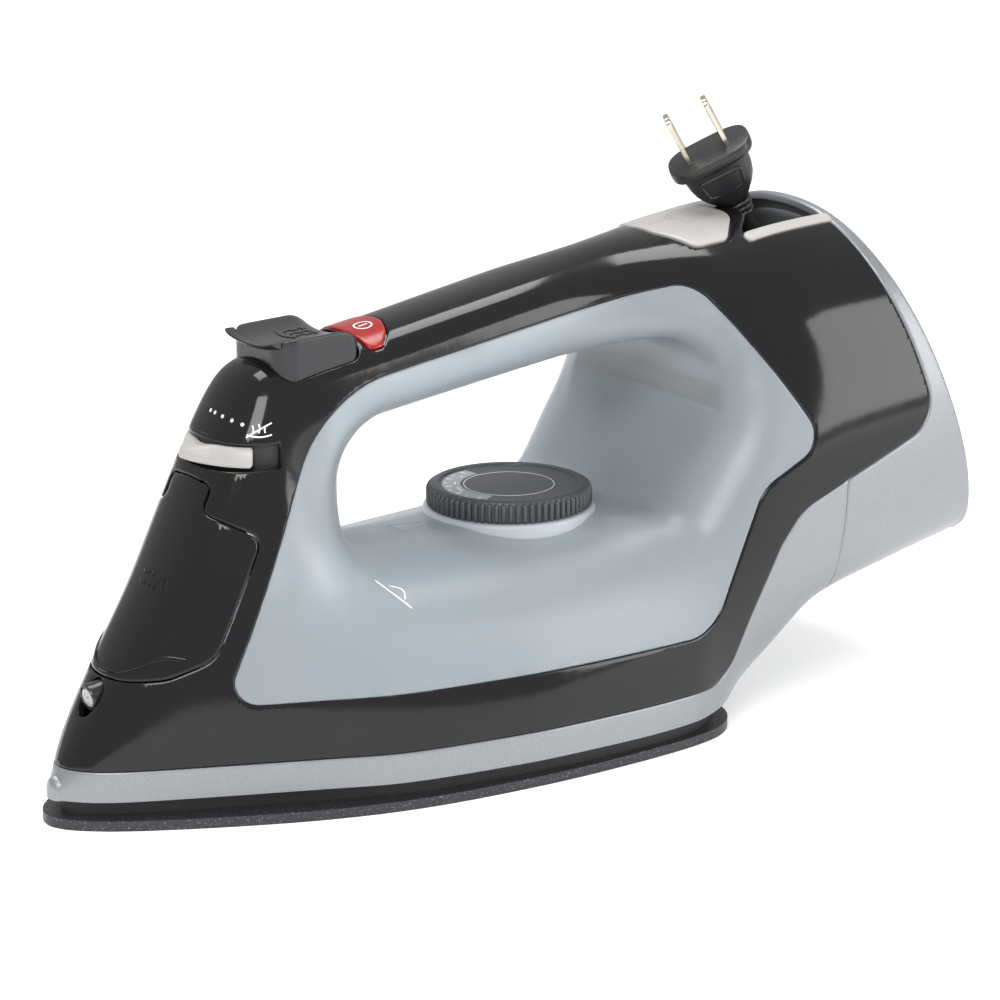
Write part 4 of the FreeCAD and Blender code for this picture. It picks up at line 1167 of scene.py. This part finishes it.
loops = []
for radius in (2.6, 4.4):
    arc = [(116 + radius * math.cos(a), radius * math.sin(a), 160) for a in np.linspace(0.5, 5.6, 34)]
    loops.append(ribbon(rewind_tree, arc, (0, 0, -1), 0.5, 0.22))
plug_mark = [(104.8 + 0.7 * i, 0.0, 160) for i in range(10)]
loops.append(ribbon(rewind_tree, plug_mark, (0, 0, -1), 0.5, 0.22))
add_piece("rewind_symbol", joined(loops), warm_grey, "rewind", "warm_grey_plastic")


# %% [markdown]
# Anything that repeats is copied by one small Geometry Nodes tree: an item is placed on every point of
# a carrier mesh, turned by the angles stored on that point. The result is made into a plain mesh.

# %% Copies of an item
def copies_tree():
    """Tree with inputs Item, Finish and Size: copies the item onto the points of the carrier."""
    tree = bpy.data.node_groups.new("copies", "GeometryNodeTree")
    tree.interface.new_socket("Geometry", in_out="INPUT", socket_type="NodeSocketGeometry")
    tree.interface.new_socket("Item", in_out="INPUT", socket_type="NodeSocketObject")
    tree.interface.new_socket("Finish", in_out="INPUT", socket_type="NodeSocketMaterial")
    size = tree.interface.new_socket("Size", in_out="INPUT", socket_type="NodeSocketFloat")
    size.default_value = 1.0
    tree.interface.new_socket("Geometry", in_out="OUTPUT", socket_type="NodeSocketGeometry")
    start = tree.nodes.new("NodeGroupInput")
    given = {s.name: Wire(tree, s) for s in start.outputs if s.name}
    item = add_node(tree, "GeometryNodeObjectInfo", {}, {"Object": given["Item"]}, "Geometry")
    turn = add_node(tree, "GeometryNodeInputNamedAttribute", {"data_type": "FLOAT_VECTOR"}, {"Name": "turn"})
    turn = add_node(tree, "FunctionNodeEulerToRotation", {}, {"Euler": turn})
    placed = add_node(tree, "GeometryNodeInstanceOnPoints", {},
                      {"Points": given["Geometry"], "Instance": item, "Rotation": turn, "Scale": given["Size"]})
    real = add_node(tree, "GeometryNodeRealizeInstances", {}, {"Geometry": placed})
    dressed = add_node(tree, "GeometryNodeSetMaterial", {}, {"Geometry": real, "Material": given["Finish"]})
    finish_node = tree.nodes.new("NodeGroupOutput")
    tree.links.new(dressed.socket, finish_node.inputs["Geometry"])
    return tree


COPIES = copies_tree()


def copy_item(parts, places, turns, material):
    """Points and faces of an item copied to places, each turned by its own angles."""
    item_mesh = bpy.data.meshes.new("item")
    item_mesh.from_pydata((np.asarray(parts[0]) * MM).tolist(), [], [list(f) for f in parts[1]])
    item = bpy.data.objects.new("item", item_mesh)
    carrier_mesh = bpy.data.meshes.new("carrier")
    carrier_mesh.from_pydata((np.asarray(places, float) * MM).tolist(), [], [])
    carrier_mesh.attributes.new("turn", "FLOAT_VECTOR", "POINT").data.foreach_set("vector", np.ravel(turns))
    carrier = bpy.data.objects.new("carrier", carrier_mesh)
    bpy.context.collection.objects.link(carrier)
    modifier = carrier.modifiers.new("copies", "NODES")
    modifier.node_group = COPIES
    keys = {s.name: s.identifier for s in COPIES.interface.items_tree if s.in_out == "INPUT"}
    modifier[keys["Item"]] = item
    modifier[keys["Finish"]] = material
    modifier[keys["Size"]] = 1.0
    bpy.context.view_layer.update()
    result = bpy.data.meshes.new_from_object(carrier.evaluated_get(bpy.context.evaluated_depsgraph_get()))
    points = np.array([v.co / MM for v in result.vertices])
    faces = [tuple(p.vertices) for p in result.polygons]
    for thing in (carrier, item):
        bpy.data.objects.remove(thing)
    print("copied", len(places), "times:", len(faces), "faces")
    return points, faces


def revolve(profile, count=144, centre=(0.0, 0.0), closed=False):
    """A profile of (radius, height) pairs turned about an upright axis."""
    turns = np.linspace(0, 2 * math.pi, count, endpoint=False)
    rings = [np.column_stack([centre[0] + r * np.cos(turns), centre[1] + r * np.sin(turns), np.full(count, z)])
             for r, z in profile]
    if closed:
        rings.append(rings[0])
    return loft(rings, not closed, not closed)


# %% [markdown]
# The dial has 72 rounded ridges round its rim, each with a chamfered top that catches the light,
# then a smooth ring and a face set in a little.

# %% Temperature dial
DIAL_AT = (52.0, 0.0)
RIDGES = 72
RIDGE_CIRCLE = 24.05
DIAL_FACE = 73.45
DIAL_PROFILE = [
    (0.02, 72.3), (3.05, 72.3), (3.05, 67.8), (23.6, 67.8), (23.9, 68.1), (23.9, 73.2), (23.5, 73.9),
    (23.1, 74.15), (22.6, 74.2), (21.7, 74.2), (21.3, 74.1), (21.1, 73.8), (21.0, 73.55),
    (20.6, DIAL_FACE), (14.0, DIAL_FACE), (7.0, DIAL_FACE), (0.02, DIAL_FACE),
]
dial_body = revolve(DIAL_PROFILE, centre=DIAL_AT)
ridge_angle = np.linspace(0, 2 * math.pi, 14, endpoint=False)
ridge_rings = []
for z, scale in ((67.9, 0.8), (68.3, 1.0), (72.4, 1.0), (73.0, 0.86), (73.45, 0.6), (73.7, 0.25)):
    ridge_rings.append(np.column_stack([0.95 * scale * np.cos(ridge_angle) - (1 - scale) * 0.5,
                                        0.78 * scale * np.sin(ridge_angle), np.full(14, z)]))
dial_turns = np.linspace(0, 2 * math.pi, RIDGES, endpoint=False)
ridge_places = np.column_stack([DIAL_AT[0] + RIDGE_CIRCLE * np.cos(dial_turns),
                                RIDGE_CIRCLE * np.sin(dial_turns), np.zeros(RIDGES)])
ridge_turns = np.column_stack([np.zeros((RIDGES, 2)), dial_turns])
ridges = copy_item(loft(ridge_rings), ridge_places, ridge_turns, dial_grey)
add_piece("dial_knob", joined([dial_body, ridges]), dial_grey, "dial", "dark_grey_plastic", "temperature_dial")
dial_tree = surface_of(bpy.data.objects["dial_knob"])


def sector(inner, outer, start, end, z, thick=0.08, count=48):
    """A thin flat piece of a ring."""
    rings = []
    for a in np.linspace(start, end, count):
        c, s = math.cos(a), math.sin(a)
        rings.append([(DIAL_AT[0] + r * c, r * s, h) for r, h in
                      ((inner, z - 0.2), (outer, z - 0.2), (outer, z + thick), (inner, z + thick))])
    return loft(rings)


add_piece("dial_scale", sector(14.6, 20.2, math.radians(95), math.radians(214), DIAL_FACE), print_grey, "dial",
          "dark_grey_plastic")
dial_marks = []
for k, degrees in enumerate(np.linspace(103, 206, 9)):
    a = math.radians(degrees)
    reach = 17.6 if k % 2 == 0 else 18.8
    line = [(DIAL_AT[0] + r * math.cos(a), r * math.sin(a), 73.6) for r in np.linspace(reach, 19.6, 4)]
    dial_marks.append(ribbon(dial_tree, line, (0, 0, -1), 0.34, 0.13))
for degrees, many in ((116, 1), (142, 2), (168, 3)):
    for i in range(many):
        a = math.radians(degrees + (i - (many - 1) / 2) * 5.0)
        at = (DIAL_AT[0] + 16.2 * math.cos(a), 16.2 * math.sin(a), 73.6)
        dial_marks.append(dot(dial_tree, at, (0, 0, -1), 0.42, 0.13))
circle_turns = np.linspace(0, 2 * math.pi, 90, endpoint=False)
circle_line = [(DIAL_AT[0] + 13.6 * math.cos(a), 13.6 * math.sin(a), 73.6) for a in circle_turns]
dial_marks.append(ribbon(dial_tree, circle_line, (0, 0, -1), 0.22, 0.05, closed=True))
add_piece("dial_marks", joined(dial_marks), print_white, "dial", "white_plastic")

# %% [markdown]
# Under the dial the deck falls away to the sides, so a clear skirt closes the gap. Behind the tank, a dark
# plate stands well inside the form, because the tank turns in round the hand opening there.

# %% Clear collar under the dial
SKIRT_PROFILE = [
    (3.2, 66.6), (24.4, 66.6), (24.5, 59.0), (26.0, 59.0), (26.1, 66.4), (25.9, 67.1), (25.5, 67.4), (3.2, 67.4),
]
add_piece("dial_skirt", revolve(SKIRT_PROFILE, centre=DIAL_AT, closed=True), inner_clear, "housing",
          "clear_tank_plastic", "dial_collar")

# %% Bulkhead behind the tank
row = int(np.argmin(np.abs(form[:, 0, 0] - 105.0)))
section = form[row, :ROUND, 1:]
section = section[(section[:, 1] > 33) & (section[:, 1] < 104)]
edge_loop = np.column_stack([np.maximum(-section[:, 0] - 11.5, 4), section[:, 1]])
edge_loop = np.concatenate([edge_loop, edge_loop[::-1] * [-1, 1]])
plate_faces = [np.column_stack([np.full(len(edge_loop), x), edge_loop]) for x in (104.3, 106.3)]
add_piece("bulkhead_plate", loft(plate_faces), heat_black, "housing", "black_gloss_plastic", "tank_bulkhead")


# %% [markdown]
# The nozzle is a short cup with a rolled rim, and a pale disc with a fine hole sits in it.

# %% Spray nozzle
def along_nozzle(parts):
    """Carries a shape built about +Z from the nozzle's root to where the nozzle lies."""
    points, faces = parts
    across = np.array([0.0, 1.0, 0.0])
    up = np.cross(NOZZLE_AXIS, across)
    moved = NOZZLE_FROM + points[:, :1] * up + points[:, 1:2] * across + points[:, 2:] * NOZZLE_AXIS
    return moved, faces


CUP_PROFILE = [
    (1.25, 0.0), (3.5, 0.0), (3.6, 0.4), (3.6, 9.5), (3.8, 12.2), (3.95, 13.6), (3.9, 14.2), (3.65, 14.5),
    (3.3, 14.45), (3.05, 14.1), (2.95, 13.4), (1.25, 13.3),
]
cup = revolve(CUP_PROFILE, 48, closed=True)
add_piece("nozzle_cup", along_nozzle(cup), button_black, "housing", "black_gloss_plastic", "spray_nozzle")
DISC_PROFILE = [
    (0.45, 13.6), (2.7, 13.6), (2.85, 13.8), (2.8, 14.2), (2.6, 14.4), (1.5, 14.5), (1.3, 14.3), (0.8, 14.3),
    (0.45, 14.2),
]
disc = revolve(DISC_PROFILE, 48, closed=True)
add_piece("nozzle_disc", along_nozzle(disc), warm_grey, "housing", "warm_grey_plastic", "nozzle_tip")


# %% [markdown]
# The plug rests face up in the slot behind the grip. Its grip has a flat panel on each side, and
# three loops of the cord guard carry the bend.

# %% Plug
PLUG_LEAN, PLUG_TURN = math.radians(34), math.radians(34)
PLUG_FACE = np.array([127.0, 0.0, 167.0])


def on_plug(parts):
    """Carries a shape built with the plug's face at the origin to where the plug rests."""
    points, faces = parts
    c, s = math.cos(-PLUG_TURN), math.sin(-PLUG_TURN)
    x = points[:, 0] * c - points[:, 1] * s
    y = points[:, 0] * s + points[:, 1] * c
    c, s = math.cos(-PLUG_LEAN), math.sin(-PLUG_LEAN)
    return np.column_stack([x * c + points[:, 2] * s, y, -x * s + points[:, 2] * c]) + PLUG_FACE, faces


def oval(length, width, z, square=3.2, count=72):
    """A rounded oblong loop at a height."""
    t = np.linspace(0, 2 * math.pi, count, endpoint=False)
    c, s = np.cos(t), np.sin(t)
    return np.column_stack([length / 2 * np.sign(c) * np.abs(c) ** (2 / square),
                            width / 2 * np.sign(s) * np.abs(s) ** (2 / square), np.full(count, z)])


PLUG_SECTIONS = [
    (25.4, 15.4, 0.0), (26.4, 16.4, -0.25), (26.9, 16.9, -0.8), (27, 17, -1.6), (26.9, 16.9, -2.9),
    (26.2, 16.2, -3.6), (24.6, 14.8, -4.1), (22.4, 13.6, -4.6), (21.6, 13.0, -6.5), (21.0, 12.4, -9.0),
    (19.4, 11.8, -12.0), (16.6, 11.0, -14.6), (13.4, 10.2, -16.8, 2.6), (11.2, 9.4, -18.4, 2.2),
    (9.6, 8.6, -19.0, 2.0), (7.0, 7.0, -19.2, 2.0), (6.6, 6.6, -25.4, 2.0),
]
plug_rings = [oval(*section) for section in PLUG_SECTIONS]
guard = []
for k in range(3):
    z = -20.6 - 2.0 * k
    guard.append(loft([oval(w, w * 0.9, z + dz, 2.2) for w, dz in
                       ((6.4, 0.8), (9.0 - k * 0.7, 0.75), (9.8 - k * 0.7, 0.35), (9.9 - k * 0.7, 0.0),
                        (9.8 - k * 0.7, -0.35), (9.0 - k * 0.7, -0.75), (6.4, -0.8))]))
PANEL_FRAME = ((0.0, -0.6), (0.05, 0.2), (0.35, 0.4), (0.8, 0.4), (1.05, 0.2), (1.1, -0.6))
frames = []
for side_sign in (-1, 1):
    loop = even_loop([(-6.2, -14.0, 2.2), (6.2, -14.0, 2.2), (7.6, -6.0, 1.6), (-7.6, -6.0, 1.6)], 60)
    outer_y = 6.35 - 0.13 * np.clip(-loop[:, 1] - 6.0, 0, 8)
    rings = []
    for inset_by, lift_by in PANEL_FRAME:
        ring = inset(loop, inset_by)
        rings.append(np.column_stack([ring[:, 0], side_sign * (outer_y + lift_by), ring[:, 1]]))
    frames.append(loft(rings + [rings[0]], False, False))
plug = joined([loft(plug_rings)] + guard + frames)
add_piece("mains_plug", on_plug(plug), plug_rubber, "housing", "black_rubber", "plug_body")

# %% Plug blades
BLADE_GAP = 12.7


def blade(middle):
    """A flat blade with a rounded end and a hole near it."""
    half, thick, tall = 3.175, 0.78, 17.2
    rise = np.linspace(0.2, math.pi / 2, 6)
    outer = [(-half, -9.0), (half, -9.0), (half, tall - 2.6)]
    outer += [(half - 2.4 + 2.4 * math.cos(a), tall - 2.6 + 2.4 * math.sin(a)) for a in rise]
    outer += [(-half + 2.4 - 2.4 * math.cos(a), tall - 2.6 + 2.4 * math.sin(a)) for a in rise[::-1]]
    outer += [(-half, tall - 2.6)]
    outer = np.array(outer)
    closed = np.concatenate([outer, outer[:1]])
    along = np.concatenate([[0], np.cumsum(np.linalg.norm(np.diff(closed, axis=0), axis=1))])
    where = np.linspace(0, along[-1], 64, endpoint=False)
    outer = np.stack([np.interp(where, along, closed[:, c]) for c in range(2)], 1)
    start = np.arctan2(outer[:, 1] - 12.4, outer[:, 0])
    hole = np.column_stack([1.45 * np.cos(start), 12.4 + 1.45 * np.sin(start)])
    rings = []
    for loop, y in ((outer, -thick * 0.75), (outer, thick * 0.75), (inset(outer, 0.2), thick), (hole, thick),
                    (hole, -thick), (inset(outer, 0.2), -thick), (outer, -thick * 0.75)):
        rings.append(np.column_stack([np.full(64, middle) + y, loop[:, 0], loop[:, 1]]))
    return loft(rings, False, False)


add_piece("plug_pins", on_plug(joined([blade(-BLADE_GAP / 2), blade(BLADE_GAP / 2)])), nickel, "housing",
          "nickel_plate", "plug_blades")

# %% Bars beside the cord slot
BAR_TOP = [(124.0, -23.9, 1.9), (157.6, -23.9, 0.6), (157.6, -20.1, 0.6), (124.0, -20.1, 1.9)]
proud_button("cord_exit_bars", BAR_TOP, 130, 0.5, warm_grey, "housing", "warm_grey_plastic", "cord_guide")


# %% [markdown]
# Marks on the column and the tank, and the raised drop on the filler door. All are generic signs.

# %% Steam scale on the column
scale_marks = [dot(shell_tree, at, tuple(-np.array(n)), 0.55) for at, n in (
    ((-51.3, 0.7, 111.2), (-0.87, 0.01, 0.49)), ((-51.3, -1.7, 111.0), (-0.87, 0.0, 0.49)),
    ((-51.1, -5.3, 110.6), (-0.86, -0.15, 0.48)), ((-50.3, -9.0, 110.0), (-0.82, -0.33, 0.47)),
    ((-48.9, -12.2, 109.3), (-0.7, -0.56, 0.44)))]
icon_at = np.array([-45.8, -15.8, 108.0])
icon_out = np.array([-0.5, -0.79, 0.36])
icon_out /= np.linalg.norm(icon_out)
icon_right = np.cross([0, 0, 1], icon_out)
icon_right /= np.linalg.norm(icon_right)
icon_up = np.cross(icon_out, icon_right)


def on_icon(pairs):
    """Points of the icon from (right, up) pairs."""
    return [tuple(icon_at + icon_right * a + icon_up * b) for a, b in pairs]


ICON_STROKES = [
    [(-3.6, -2.0), (0, 0), (3.6, 2.0)],
    [(-3.4, -1.3), (-1.2, -1.9), (1.4, -1.9), (3.6, -1.3)],
    [(-1.7, -0.9), (-1.5, 0.2), (-1.8, 1.3)],
    [(0.0, -0.9), (0.25, 0.4), (0.0, 1.7)],
    [(1.8, -0.8), (1.6, 0.0), (1.8, 0.7)],
]
for pairs in ICON_STROKES:
    scale_marks.append(ribbon(shell_tree, curve_through(on_icon(pairs), 14), tuple(-icon_out), 0.42))
add_piece("steam_scale", joined(scale_marks), print_white, "housing", "white_plastic")

# %% Fill line and dial pointer on the tank
fill_marks = []
for side_sign in (-1, 1):
    line = [(-14.8, side_sign * 26.9, 61.6), (-11.9, side_sign * 31.9, 58.4), (-9.0, side_sign * 36.9, 54.7)]
    fill_marks.append(ribbon(tank_tree, curve_through(line, 16), (0, -side_sign * 0.5, -0.85), 0.5))
    arrow = [(-11.6, side_sign * 29.6, 60.5), (-8.4, side_sign * 31.4, 59.0), (-9.6, side_sign * 34.4, 57.0)]
    fill_marks.append(ribbon(tank_tree, curve_through(arrow, 10), (0, -side_sign * 0.5, -0.85), 0.4))
add_piece("fill_marks", joined(fill_marks), print_white, "housing", "white_plastic")

pointer = []
triangle = [(11.0, -4.6, 80), (23.0, 0.0, 80), (11.0, 4.6, 80)]
for a, b in zip(triangle, triangle[1:] + triangle[:1]):
    line = [tuple(np.array(a) + (np.array(b) - np.array(a)) * t) for t in np.linspace(0, 1, 10)]
    pointer.append(ribbon(tank_tree, line, (0, 0, -1), 0.55, 0.12))
add_piece("dial_pointer", joined(pointer), print_grey, "housing", "dark_grey_plastic")

# %% Drop and ledge on the filler door
door_tree = surface_of(door)
drop_loop = [(-73.6, -5.6 + 1.9 * math.sin(a), 64.6 + 1.9 * math.cos(a) + 1.3 * max(math.cos(a), 0) ** 4)
             for a in np.linspace(0, 2 * math.pi, 30, False)]
raised = [ribbon(door_tree, drop_loop, (1, 0, -0.2), 0.6, 0.3, closed=True)]
for z in (65.6, 68.6):
    wave = [(-80, -1.8, z), (-80, 0.2, z + 1.0), (-80, 2.2, z - 0.4), (-80, 4.2, z + 0.6)]
    raised.append(ribbon(door_tree, curve_through(wave, 20), (1, 0, -0.2), 0.55, 0.3))
add_piece("door_symbol", joined(raised), black_gloss, "door", "black_gloss_plastic")
ledge = [(-73.5, -19.6, 46.6), (-79.1, -15.2, 47.0), (-85.6, -9.7, 44.4), (-88.4, -5.0, 43.4), (-89.2, 0, 43.0),
         (-88.4, 5.0, 43.4), (-85.6, 9.7, 44.4), (-79.1, 15.2, 47.0), (-73.5, 19.6, 46.6)]
ledge_line = ribbon(door_tree, curve_through(ledge, 60), (0.55, 0, -0.83), 1.1, 0.45)
add_piece("door_ledge", ledge_line, black_gloss, "door", "black_gloss_plastic")

# %% Hinge pin of the filler door
pin_turns = np.linspace(0, 2 * math.pi, 24, endpoint=False)
pin_rings = [np.column_stack([-58.0 + r * np.cos(pin_turns), np.full(24, y), 91.4 + r * np.sin(pin_turns)])
             for y, r in ((-8.6, 0.5), (-8.4, 0.7), (8.4, 0.7), (8.6, 0.5))]
add_piece("door_pin", loft(pin_rings), steel, "housing", "plain_steel", "door_hinge_pin")

# %% Ribs on the heel
rib_loop = even_loop([(-21, -0.9, 0.85), (21, -0.9, 0.85), (21, 0.9, 0.85), (-21, 0.9, 0.85)], 60)
RIB_PROFILE = ((-0.6, 0), (0.25, 0), (0.5, 0.15), (0.6, 0.4))
rib = loft([np.column_stack([np.full(60, h), inset(rib_loop, d)]) for h, d in RIB_PROFILE])
rib_places = [np.array([REAR_FOOT[0], 0.0, REAR_FOOT[1]]) + np.array([rear_up[0], 0, rear_up[1]]) * (30 + 9 * i)
              - np.array([rear_out[0], 0, rear_out[1]]) * 1.0 for i in range(6)]
heel_ribs = copy_item(rib, rib_places, [(0.0, -math.atan2(rear_out[1], rear_out[0]), 0.0)] * 6, silver)
add_piece("heel_ribs", heel_ribs, silver, "housing", "silver_paint")


# %% [markdown]
# Pieces that keep their CAD shape get the finish of what they are made of.

# %% Finishes of the pieces that keep their CAD shape
KEEP = {
    nonstick: ["soleplate"],
    heat_black: ["heat_shield", "fill_tray", "cord_tray", "power_switch", "terminal_block", "cord_reel"],
    board_green: ["control_board"],
    plug_rubber: ["door_seal", "cord_tail", "cord_winding", "feed_wires"],
    inner_clear: ["tank_floor"],
    dial_grey: ["dial_spindle", "brush_holder", "slip_ring_disc"],
    steel: ["sole_screws", "heel_screws", "mainspring", "reel_axle", "door_hinge_pin", "brake_pin",
            "pump_springs"],
    alloy: ["heating_element", "steam_chamber_cover", "thermostat"],
    brass: ["valve_seat", "steam_valve_needle", "slip_rings", "contact_brushes", "thermal_fuse"],
    red_clear: ["indicator_lamp"],
}
for node in nodes.values():
    node.data.materials.clear()
    node.data.materials.append(white_nylon)
for material, names in KEEP.items():
    for node_name in names:
        if node_name in nodes:
            nodes[node_name].data.materials[0] = material
print("nodes finished", len(nodes))

# %% [markdown]
# The iron stands on a white floor in a bright, even room, with three soft lights for its gloss.

# %% Floor and lights
floor_mesh = bpy.data.meshes.new("floor")
floor_mesh.from_pydata([(-3, -3, 0), (3, -3, 0), (3, 3, 0), (-3, 3, 0)], [], [(0, 1, 2, 3)])
floor = bpy.data.objects.new("floor", floor_mesh)
floor_paint = finish("floor_paint", (0.9, 0.9, 0.9), 0.7, grain=(40, 0.00001, 0.05))
floor_shader = floor_paint.node_tree.nodes["Principled BSDF"]
floor_shader.inputs["Emission Color"].default_value = (1, 1, 1, 1)
floor_shader.inputs["Emission Strength"].default_value = 0.35
floor_mesh.materials.append(floor_paint)
bpy.context.collection.objects.link(floor)

world = bpy.data.worlds.new("studio")
bpy.context.scene.world = world
world.use_nodes = True
sky = world.node_tree.nodes["Background"]
sky.inputs["Color"].default_value = (1, 1, 1, 1)
sky.inputs["Strength"].default_value = 0.55
bpy.context.scene.view_settings.view_transform = "Standard"


def soft_box(name, at, towards, width, height, power):
    """A rectangular studio light."""
    data = bpy.data.lights.new(name, "AREA")
    data.shape = "RECTANGLE"
    data.size = width
    data.size_y = height
    data.energy = power
    lamp = bpy.data.objects.new(name, data)
    lamp.location = at
    aim = np.array(towards) - np.array(at)
    aim = aim / np.linalg.norm(aim)
    lamp.rotation_euler = (math.acos(-aim[2]), 0, math.atan2(aim[1], aim[0]) - math.pi / 2)
    bpy.context.collection.objects.link(lamp)
    return lamp


soft_box("key", (-0.9, -0.9, 1.1), (0, 0, 0.08), 0.7, 0.7, 14)
soft_box("side", (0.9, -1.1, 0.5), (0.05, 0, 0.08), 0.5, 0.9, 8)
soft_box("top", (0.1, 0.3, 1.5), (0.05, 0, 0.05), 1.2, 0.6, 16)
